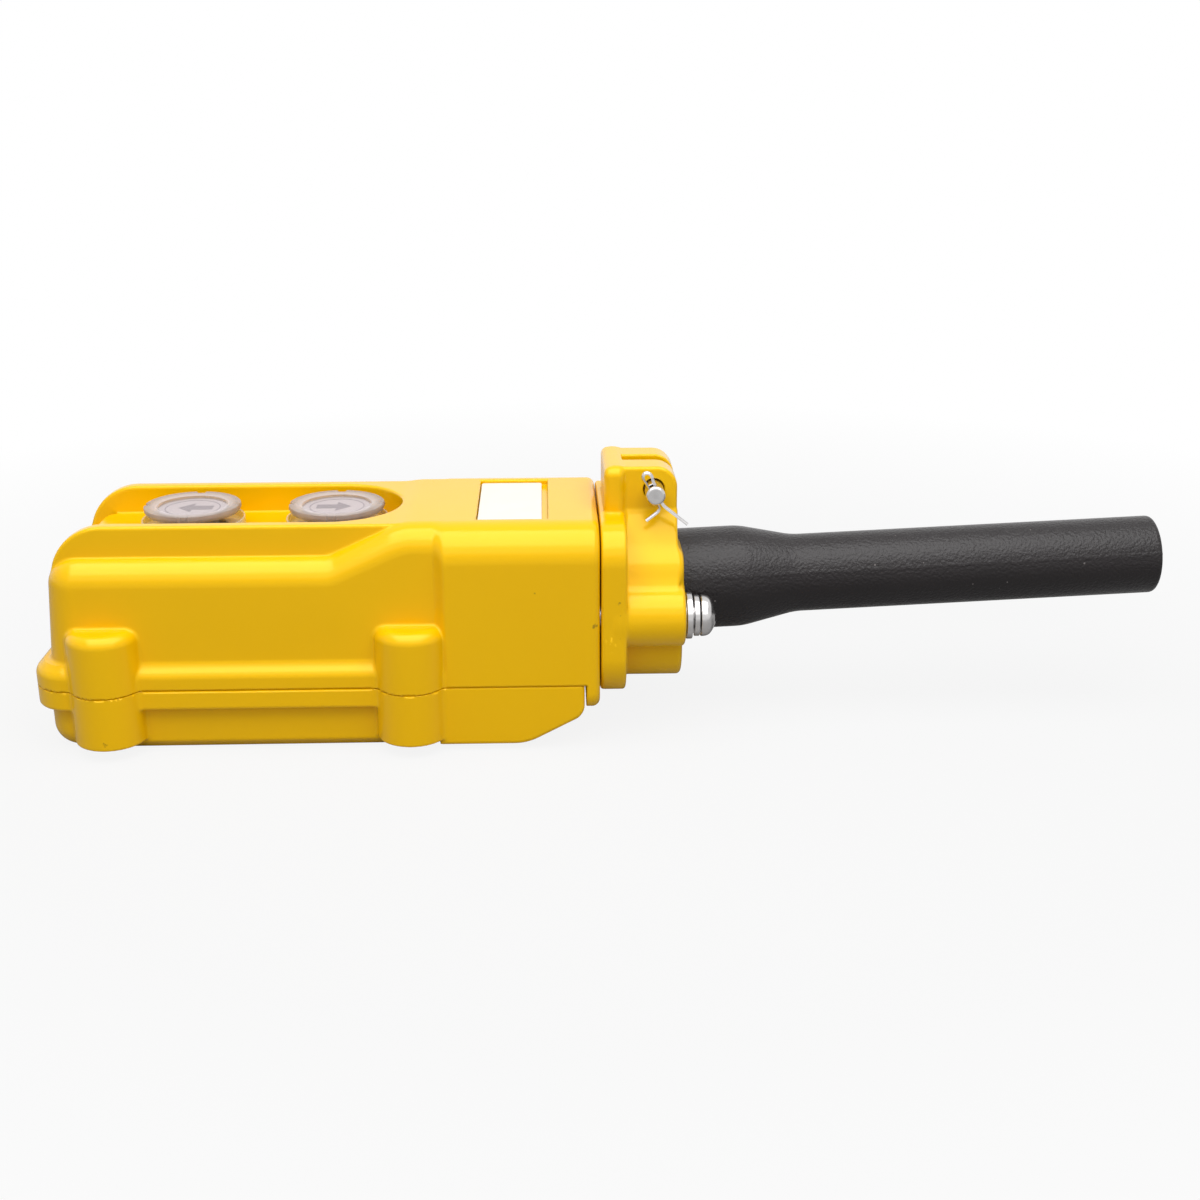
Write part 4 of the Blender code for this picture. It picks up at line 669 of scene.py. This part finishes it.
def clear_acrylic(name, pale, dark, alpha, rim=None):
    """Moulded clear acrylic with a soft gloss. A button cap has a thicker rim, painted beige-grey:
    the parts under it and painted shade of the hollow there, as seen through it.
    """
    finish, tree, shader, place = new_finish(name)
    haze = add_node(tree, "ShaderNodeTexNoise", {"Vector": place, "Scale": per_mm(4),
                                                 "Detail": 4.0})
    tone = add_node(tree, "ShaderNodeMix", {0: haze.outputs["Fac"], 6: hex_colour(dark),
                                            7: hex_colour(pale)}, data_type="RGBA").outputs[2]
    gloss = add_node(tree, "ShaderNodeMapRange", {"Value": haze.outputs["Fac"], "To Min": 0.08,
                                                  "To Max": 0.2})
    tree.links.new(gloss.outputs["Result"], shader.inputs["Roughness"])
    shader.inputs["IOR"].default_value = 1.49
    shader.inputs["Alpha"].default_value = alpha
    if rim:
        # Distance from the axis of the nearer button
        centres = [Vector((x, 0, LENS_TOP_Z)) * MM for x in BUTTON_X]
        away = [add_node(tree, "ShaderNodeVectorMath", {0: place, 1: centre},
                         operation="DISTANCE").outputs["Value"] for centre in centres]
        near = add_node(tree, "ShaderNodeMath", {0: away[0], 1: away[1]}, operation="MINIMUM")
        # Painted shade: towards the rim the tone turns to the beige-grey of the parts and the
        # shaded hollow under the cap, as seen through it.
        seen_through_share = add_node(tree, "ShaderNodeMapRange", {
            "Value": near.outputs[0], "From Min": SEEN_THROUGH_SHADE_RADII[0] * MM,
            "From Max": SEEN_THROUGH_SHADE_RADII[1] * MM}).outputs["Result"]
        cloud = add_node(tree, "ShaderNodeTexNoise", {"Vector": place, "Scale": per_mm(3),
                                                      "Detail": 3.0})
        seen_through_shade = add_node(tree, "ShaderNodeMix", {0: cloud.outputs["Fac"], 6: hex_colour(rim[0]),
                                                 7: hex_colour(rim[1])}, data_type="RGBA")
        tone = add_node(tree, "ShaderNodeMix", {0: seen_through_share, 6: tone, 7: seen_through_shade.outputs[2]},
                        data_type="RGBA").outputs[2]
        cover = add_node(tree, "ShaderNodeMapRange", {
            "Value": near.outputs[0], "From Min": DENSE_RADII[0] * MM,
            "From Max": DENSE_RADII[1] * MM, "To Min": alpha, "To Max": DENSE_ALPHA})
        tree.links.new(cover.outputs["Result"], shader.inputs["Alpha"])
    tree.links.new(tone, shader.inputs["Base Color"])
    return finish


def mottled_plastic(name, pale, dark, grain, roughness):
    """Plastic or card with a fine mottled skin."""
    finish, tree, shader, place = new_finish(name)
    mottle = add_node(tree, "ShaderNodeTexNoise", {"Vector": place, "Scale": per_mm(grain),
                                                   "Detail": 4.0})
    tone = add_node(tree, "ShaderNodeMix", {0: mottle.outputs["Fac"], 6: hex_colour(dark),
                                            7: hex_colour(pale)}, data_type="RGBA")
    tree.links.new(tone.outputs[2], shader.inputs["Base Color"])
    gloss = add_node(tree, "ShaderNodeMapRange", {
        "Value": mottle.outputs["Fac"], "To Min": roughness - 0.08, "To Max": roughness + 0.08})
    tree.links.new(gloss.outputs["Result"], shader.inputs["Roughness"])
    bump = add_node(tree, "ShaderNodeBump", {"Height": mottle.outputs["Fac"], "Strength": 0.06,
                                             "Distance": 0.2 * MM})
    tree.links.new(bump.outputs["Normal"], shader.inputs["Normal"])
    return finish


FINISHES = {
    "yellow_abs": moulded_yellow_abs(),
    "black_rubber": moulded_black_rubber(),
    # Zinc-plated steel: bright, faintly blue-grey and a little cloudy.
    "zinc_plated_steel": plated_metal("zinc_plated_steel", "#d9d7d6", "#b9b7b7", 0.2),
    # Turned brass: warm yellow metal with fine tool marks.
    "brass": plated_metal("turned_brass", "#d9b566", "#c39a48", 0.3),
    # Button caps: clear over the legend; at the rim, a painted beige-grey for the parts and the
    # shaded hollow seen through it.
    "clear_acrylic": clear_acrylic("moulded_clear_acrylic", "#d6cbc9", "#cabfbd", 0.14,
                                   ("#9c8b80", "#b9aca4")),
    # Collars: clearer, and pale along their edge.
    "clear_collar": clear_acrylic("clear_collar_acrylic", "#e6dcc8", "#d8ccb4", 0.4),
    # Printed card under the clear cap: pale lilac and dull.
    "lilac_legend": mottled_plastic("printed_lilac_card", "#c9bec0", "#beb3b5", 3, 0.5),
    # Printing ink: flat mid grey.
    "grey_ink": mottled_plastic("grey_printing_ink", "#8d8388", "#837a7f", 1.5, 0.6),
    # Enamelled plate: bare white with a slight gloss.
    "white_plate": mottled_plastic("white_enamelled_plate", "#e4e3da", "#dbd9cf", 6, 0.5),
    # Pressed phenolic: dark brown with a speckled filler.
    "brown_phenolic": mottled_plastic("pressed_brown_phenolic", "#4a3325", "#33231a", 1.5, 0.45),
    # Moulded nylon: dull grey.
    "grey_nylon": mottled_plastic("moulded_grey_nylon", "#9a9a9c", "#86868a", 2, 0.5),
}


# --- The pieces ---

def moulded_shells():
    """Front housing, rear cover and cable cap."""
    for node, field, share in (("front_housing", front_housing_field, 1.0),
                               ("rear_cover", rear_cover_field, 1.0),
                               ("cable_cap", cable_cap_field, 0.7)):
        piece = moulded(f"moulded_{node}", field, *node_box(node), GRID * share)
        stands_for(piece, [node], "housing", FINISHES["yellow_abs"])


def push_button(k, x, point):
    """Cap, legend, printed mark and collar of one button. The arrow points along X by point."""
    body = f"button_{k}"
    low, high = node_box(f"button_lens_{k}")
    legend_low, legend_high = node_box(f"button_legend_{k}")
    top = high[2]

    def nicked(along, across, up):
        """Four small nicks in the rim of the cap."""
        reach = math.hypot(across, up)
        turn = math.degrees(math.atan2(up, across)) % 90
        if reach > CAP_RADIUS - 0.7 and min(turn, 90 - turn) < 4.1:
            across, up = across * (1 - 0.5 / reach), up * (1 - 0.5 / reach)
            along = min(along, top - 0.35)
        return x + across, up, along

    pocket = legend_high[2] + 0.3
    cap = eased([(top - 0.35, 0), (top - 0.35, 9.5), (top, 10.2), (top, CAP_RADIUS - 0.1),
                 (low[2] + 0.9, CAP_RADIUS), (low[2], CAP_RADIUS - 0.5), (low[2], 9.3),
                 (pocket, 9.3), (pocket, 0)], 0.3)
    stands_for(lathe(f"clear_button_cap_{k}", cap, nicked, sides=180), [f"button_lens_{k}"], body,
               FINISHES["clear_acrylic"])

    def upright(along, across, up):
        return x + across, up, along

    legend_radius, ring_radius = 9.0, 7.0
    disc = eased([(legend_high[2], 0), (legend_high[2], legend_radius),
                  (legend_low[2], legend_radius), (legend_low[2], 0)], 0.12)
    stands_for(lathe(f"legend_disc_{k}", disc, upright), [f"button_legend_{k}"], body,
               FINISHES["lilac_legend"])
    ink = legend_high[2], legend_high[2] + 0.06
    ring = [(ink[1], ring_radius), (ink[1], ring_radius + 0.25), (ink[0], ring_radius + 0.25),
            (ink[0], ring_radius)]
    stands_for(lathe(f"printed_ring_{k}", ring, upright, closed=True), [], body,
               FINISHES["grey_ink"])
    tip, wing, tail, half, stem = -3.8, 0.1, 5.4, 4.2, 1.8
    arrow = [(tip, 0), (wing, -half), (wing, -stem), (tail, -stem), (tail, stem), (wing, stem),
             (wing, half)]
    arrow = [(x - point * u, -point * v) for u, v in arrow]
    stands_for(slab(f"printed_arrow_{k}", arrow, *ink, 0.02), [], body,
               FINISHES["grey_ink"])
    low, high = node_box(f"button_collar_{k}")
    lip, flange = low[2] + 9.7, high[2]
    stem_hole, bore, barrel, lip_inner, lip_outer = 7.0, 8.9, 10.2, 12.95, 13.5
    collar = eased([(flange, bore), (flange, lip_inner), (lip, lip_inner), (lip, lip_outer),
                    (flange - 1.2, lip_outer), (flange - 1.2, barrel), (low[2], barrel),
                    (low[2], stem_hole), (low[2] + 1.5, stem_hole), (low[2] + 1.5, bore)], 0.2,
                   closed=True)
    stands_for(lathe(f"clear_button_collar_{k}", collar, upright, closed=True),
               [f"button_collar_{k}"], "housing", FINISHES["clear_collar"])


def cable_boot():
    """Boot that runs straight through the cap, then rises a little along its length."""
    rise = math.radians(2.5)
    length = (X_BOOT_END - X_CAP - 8.5 * math.sin(rise)) / math.cos(rise)

    def bent(along, across, up):
        reach = math.hypot(across, up)
        if reach > 9.8:
            # Mould flash: a faint raised line along the boot, just below its middle.
            turn = (math.degrees(math.atan2(up, across)) + 17) % 180
            grow = 1 + 0.1 * math.exp(-(min(turn, 180 - turn) / 1.6) ** 2) / reach
            across, up = across * grow, up * grow
        if along <= X_CAP:
            return along, across, AXIS_Z + up
        run = along - X_CAP
        return (X_CAP + run * math.cos(rise) - up * math.sin(rise), across,
                AXIS_Z + run * math.sin(rise) + up * math.cos(rise))

    start, tip = X_FLANGE + 0.15, X_CAP + length
    knee, taper = X_CAP_END + 16.8, 14.4
    bore, foot, root, sleeve = 7.5, 16.8, 13.7, 10.5
    profile = eased([(start, bore), (start, foot), (start + 5, foot), (start + 5, root),
                     (X_CAP, root), (knee, root), (knee + taper, sleeve), (tip, sleeve),
                     (tip, bore), (X_CAP, bore)], 2.2, closed=True, steps=6)
    piece = lathe("moulded_cable_boot", profile, bent, sides=144, closed=True)
    stands_for(piece, ["cable_boot"], "housing", FINISHES["black_rubber"])


def cap_screw_field(x, y, z):
    """Domed head with a cross recess, on a plain shank along X."""
    low, high = node_box("cap_screw_1")
    u, v = np.abs(y) - CAP_SCREW_Y, z - CAP_SCREW_Z
    reach, seat = np.hypot(u, v), high[0] - 4.3
    head_radius, dome_radius, shank_radius = 5.45, 7.4, 3.0
    dome = np.hypot(reach, x - high[0] + dome_radius) - dome_radius
    head = trimmed(box_corner(reach - head_radius, seat - x, 0.4), dome, 0.9)
    shank = box_corner(reach - shank_radius, between(x, low[0], seat + 1), 0.4)
    screw = merged(head, shank, 0.2)
    drop = (high[0] - x) * 0.18
    blades = [np.maximum(np.abs(a) - 0.75 + drop * 0.5, np.abs(b) - 3.1 + drop * 3)
              for a, b in ((u, v), (v, u))]
    return carved(screw, np.maximum(np.minimum(*blades), high[0] - 2.4 - x), 0.25)


def cap_fasteners():
    """Screw, flat washer and split washer on each side of the cap."""
    steel = FINISHES["zinc_plated_steel"]
    flat_radius, split_radius, split_half = 6.1, 4.35, 1.05
    for k in (1, 2):
        middle = node_middle(f"cap_screw_{k}")
        piece = moulded(f"pan_head_screw_{k}", cap_screw_field, *node_box(f"cap_screw_{k}"),
                        FINE_GRID)
        stands_for(piece, [f"cap_screw_{k}"], "housing", steel)
        low, high = node_box(f"cap_flat_washer_{k}")
        ring = eased([(low[0], CAP_SCREW_HOLE), (low[0], flat_radius), (high[0], flat_radius),
                      (high[0], CAP_SCREW_HOLE)], 0.3, closed=True)
        piece = lathe(f"flat_washer_{k}", ring, lambda along, across, up: (
            along, middle[1] + across, middle[2] + up), closed=True)
        stands_for(piece, [f"cap_flat_washer_{k}"], "housing", steel)
        low, high = node_box(f"cap_spring_washer_{k}")
        turns = np.radians(np.linspace(278, 622, 73))
        path = [(split_radius * math.cos(t), split_radius * math.sin(t)) for t in turns]
        half = (high[0] - low[0]) / 2 - 0.12
        section = eased([(-split_half, -half), (split_half, -half), (split_half, half),
                         (-split_half, half)], 0.2, closed=True)
        piece = swept(f"split_washer_{k}", path, section, lambda spot, across, share: (
            (low[0] + high[0]) / 2 + across + 0.2 * (share - 0.5),
            middle[1] + spot[0], middle[2] + spot[1]))
        stands_for(piece, [f"cap_spring_washer_{k}"], "housing", steel)


COTTER_LEAN = math.radians(25)
COTTER_Y = PIN_LOW[1] + 2.5


def hanger_pin_field(x, y, z):
    """Headed pin with a chamfered tip and a cross hole for the cotter."""
    u, v = x - PIN_X, z - PIN_Z
    reach, seat = np.hypot(u, v), PIN_HIGH[1] - 2.2
    radius, tip_radius, head_radius, cotter_hole = 2.5, 2.1, 4.5, 1.25
    pin = np.maximum(reach - radius, between(y, PIN_LOW[1], seat + 1))
    pin = trimmed(pin, (reach - tip_radius + PIN_LOW[1] - y) / math.sqrt(2), 0.2)
    pin = merged(pin, box_corner(reach - head_radius, between(y, seat, PIN_HIGH[1]), 0.6), 0.3)
    across = u * math.cos(COTTER_LEAN) + v * math.sin(COTTER_LEAN)
    return carved(pin, np.hypot(across, y - COTTER_Y) - cotter_hole, 0.2)


def hanger():
    """Hanger pin and the cotter through its end."""
    steel = FINISHES["zinc_plated_steel"]
    piece = moulded("turned_hanger_pin", hanger_pin_field, PIN_LOW, PIN_HIGH, FINE_GRID)
    stands_for(piece, ["hanger_pin"], "hanger", steel)
    # Half-round wire, seen flat: across is its own sideways, and down runs along its legs.
    pair, out = 0.57, 3.2

    def leg(sign, straight, spread, length):
        end = np.array((sign * pair, out + straight))
        turn = math.radians(spread)
        way = np.array((sign * math.sin(turn), math.cos(turn)))
        return [tuple(end + way * length), tuple(end)]

    eye = [(1.25 * math.sin(t), -out - 1.45 - 1.6 * math.cos(t))
           for t in np.radians(np.linspace(125, -125, 9))]
    path = leg(1, 0.2, 26, 8.4) + eye + leg(-1, 1.1, 77, 4.6)[::-1]
    path = eased(path, 1.2, steps=5)
    section = [(0.77 * math.cos(t) - 0.42, 0.6 * math.sin(t))
               for t in np.radians(np.linspace(-90, 90, 9))]

    def lay(spot, across, share):
        u, v = spot
        return (PIN_X + u * math.cos(COTTER_LEAN) + v * math.sin(COTTER_LEAN), COTTER_Y + across,
                PIN_Z + u * math.sin(COTTER_LEAN) - v * math.cos(COTTER_LEAN))

    stands_for(swept("half_round_cotter", path, section, lay), ["cotter_pin"], "hanger",
               steel)


def return_springs():
    """Coils under the contact bridges."""
    wire, turns, travel, sides = 0.4, 3.5, 3.5, 10
    for k, x in enumerate(BUTTON_X, start=1):
        low, high = node_box(f"return_spring_{k}")
        points, steps = [], int(turns * 36)
        for i in range(steps + 1):
            angle = 2 * math.pi * turns * i / steps
            middle = low[2] + wire + (high[2] - low[2] - 2 * wire) * i / steps
            for j in range(sides):
                round_wire = 2 * math.pi * j / sides
                reach = (high[0] - low[0]) / 2 - wire + wire * math.cos(round_wire)
                points.append((x + reach * math.cos(angle), reach * math.sin(angle),
                               middle + wire * math.sin(round_wire)))
        ends = [list(range(sides)), list(range(len(points) - sides, len(points)))]
        piece = solid(f"coil_spring_{k}", points, ring_faces(steps + 1, sides) + ends)
        stands_for(piece, [f"return_spring_{k}"], f"button_{k}",
                   FINISHES["zinc_plated_steel"])
        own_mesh(piece)


def label():
    """Bare plate in the recess of the neck."""
    low, high = node_box("label_plate")
    corners = [(low[0], low[1]), (high[0], low[1]), (high[0], high[1]), (low[0], high[1])]
    piece = slab("bare_label_plate", eased(corners, 0.9, closed=True), low[2], high[2], 0.1)
    stands_for(piece, ["label_plate"], "housing", FINISHES["white_plate"])


def carried_nodes():
    """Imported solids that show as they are, with the finish of their slot."""
    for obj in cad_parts.values():
        obj.data.materials[0] = FINISHES[obj.data.materials[0].name.split(".")[0]]


# --- Stage, light and camera ---

LIT_POINT = 0, 0, 0.03  # where the lamps face, in metres


def seen_rays(tree, mirrored=1.0):
    """1 for rays from the camera and through glass, a share for mirrored rays, 0 for lighting."""
    path = add_node(tree, "ShaderNodeLightPath").outputs
    glossy = add_node(tree, "ShaderNodeMath", {0: path["Is Glossy Ray"], 1: mirrored},
                      operation="MULTIPLY")
    seen = path["Is Camera Ray"]
    for ray in (glossy.outputs[0], path["Is Transmission Ray"]):
        seen = add_node(tree, "ShaderNodeMath", {0: seen, 1: ray}, operation="MAXIMUM").outputs[0]
    return seen


def white_stage():
    """Pale floor and white surround. The floor keeps the part's shadow and is white far off."""
    half = 3.0
    mesh = bpy.data.meshes.new("studio_floor")
    mesh.from_pydata([(-half, -half, 0), (half, -half, 0), (half, half, 0), (-half, half, 0)], [],
                     [(0, 1, 2, 3)])
    floor = placed("studio_floor", mesh)
    # Matt paper: dull, with no sheen of its own.
    finish, tree, shader, place = new_finish("white_paper")
    shader.inputs["Base Color"].default_value = hex_colour("#a0a0a0")
    shader.inputs["Roughness"].default_value = 0.9
    away = add_node(tree, "ShaderNodeVectorMath", {0: place}, operation="LENGTH")
    white = add_node(tree, "ShaderNodeMapRange", {"Value": away.outputs["Value"], "From Min": 0.16,
                                                  "From Max": 0.4, "To Min": 0.88, "To Max": 1.0})
    # Beside the part, mirrored rays see the floor as it is lit.
    side = add_node(tree, "ShaderNodeMath", {0: add_node(
        tree, "ShaderNodeSeparateXYZ", {0: place}).outputs["Y"]}, operation="ABSOLUTE")
    clear = add_node(tree, "ShaderNodeMapRange", {"Value": side.outputs[0], "From Min": 0.08,
                                                  "From Max": 0.5})
    share = add_node(tree, "ShaderNodeMath", {0: seen_rays(tree, clear.outputs["Result"]),
                                              1: white.outputs["Result"]}, operation="MULTIPLY")
    glow = add_node(tree, "ShaderNodeEmission", {"Strength": 1.0})
    mix = add_node(tree, "ShaderNodeMixShader", {0: share.outputs[0], 1: shader.outputs[0],
                                                 2: glow.outputs[0]})
    tree.links.new(mix.outputs[0], tree.nodes["Material Output"].inputs["Surface"])
    mesh.materials.append(finish)
    world = bpy.data.worlds.new("white_surround")
    bpy.context.scene.world = world
    world.use_nodes = True
    tree = world.node_tree
    fill = add_node(tree, "ShaderNodeMapRange", {"Value": seen_rays(tree), "To Min": 0.21,
                                                 "To Max": 1.0})
    tree.links.new(fill.outputs["Result"], tree.nodes["Background"].inputs["Strength"])
    tree.nodes["Background"].inputs["Color"].default_value = (1, 1, 1, 1)


def softbox(name, place, target, size, radiance):
    """Rectangular lamp of a given brightness, facing a point."""
    lamp = bpy.data.lights.new(name, "AREA")
    lamp.shape = "RECTANGLE"
    lamp.size, lamp.size_y = size
    lamp.energy = radiance * math.pi * size[0] * size[1]
    holder = bpy.data.objects.new(name, lamp)
    holder.location = place
    holder.rotation_euler = (Vector(target) - Vector(place)).to_track_quat("-Z", "Y").to_euler()
    bpy.context.scene.collection.objects.link(holder)


def photo_camera():
    """Camera at the photograph's viewing angle."""
    elevation, azimuth = math.radians(19.27), math.radians(-2.04)
    aim, distance = Vector((-1.61, 0, 30.75)) * MM, 0.436
    back = Vector((math.sin(azimuth) * math.cos(elevation),
                   -math.cos(azimuth) * math.cos(elevation), math.sin(elevation)))
    right = Vector((math.cos(azimuth), math.sin(azimuth), 0))
    lens = bpy.data.cameras.new("photo_camera")
    lens.sensor_width = 36.0
    lens.lens = 47.9
    lens.clip_start = 0.01
    holder = bpy.data.objects.new("photo_camera", lens)
    turned = Matrix((right, back.cross(right), back)).transposed().to_4x4()
    turned.translation = aim + back * distance
    holder.matrix_world = turned
    bpy.context.scene.collection.objects.link(holder)
    bpy.context.scene.camera = holder


moulded_shells()
for number, (button_x, direction) in enumerate(zip(BUTTON_X, (-1, 1)), start=1):
    push_button(number, button_x, direction)
cable_boot()
cap_fasteners()
hanger()
return_springs()
label()
carried_nodes()
white_stage()
softbox("overhead_softbox", (0, -0.2, 0.66), LIT_POINT, (1.0, 0.64), 3.6)
softbox("front_strip", (0, -0.66, 0.5), LIT_POINT, (1.3, 0.34), 1.15)
photo_camera()
bpy.context.scene.view_settings.view_transform = "Standard"
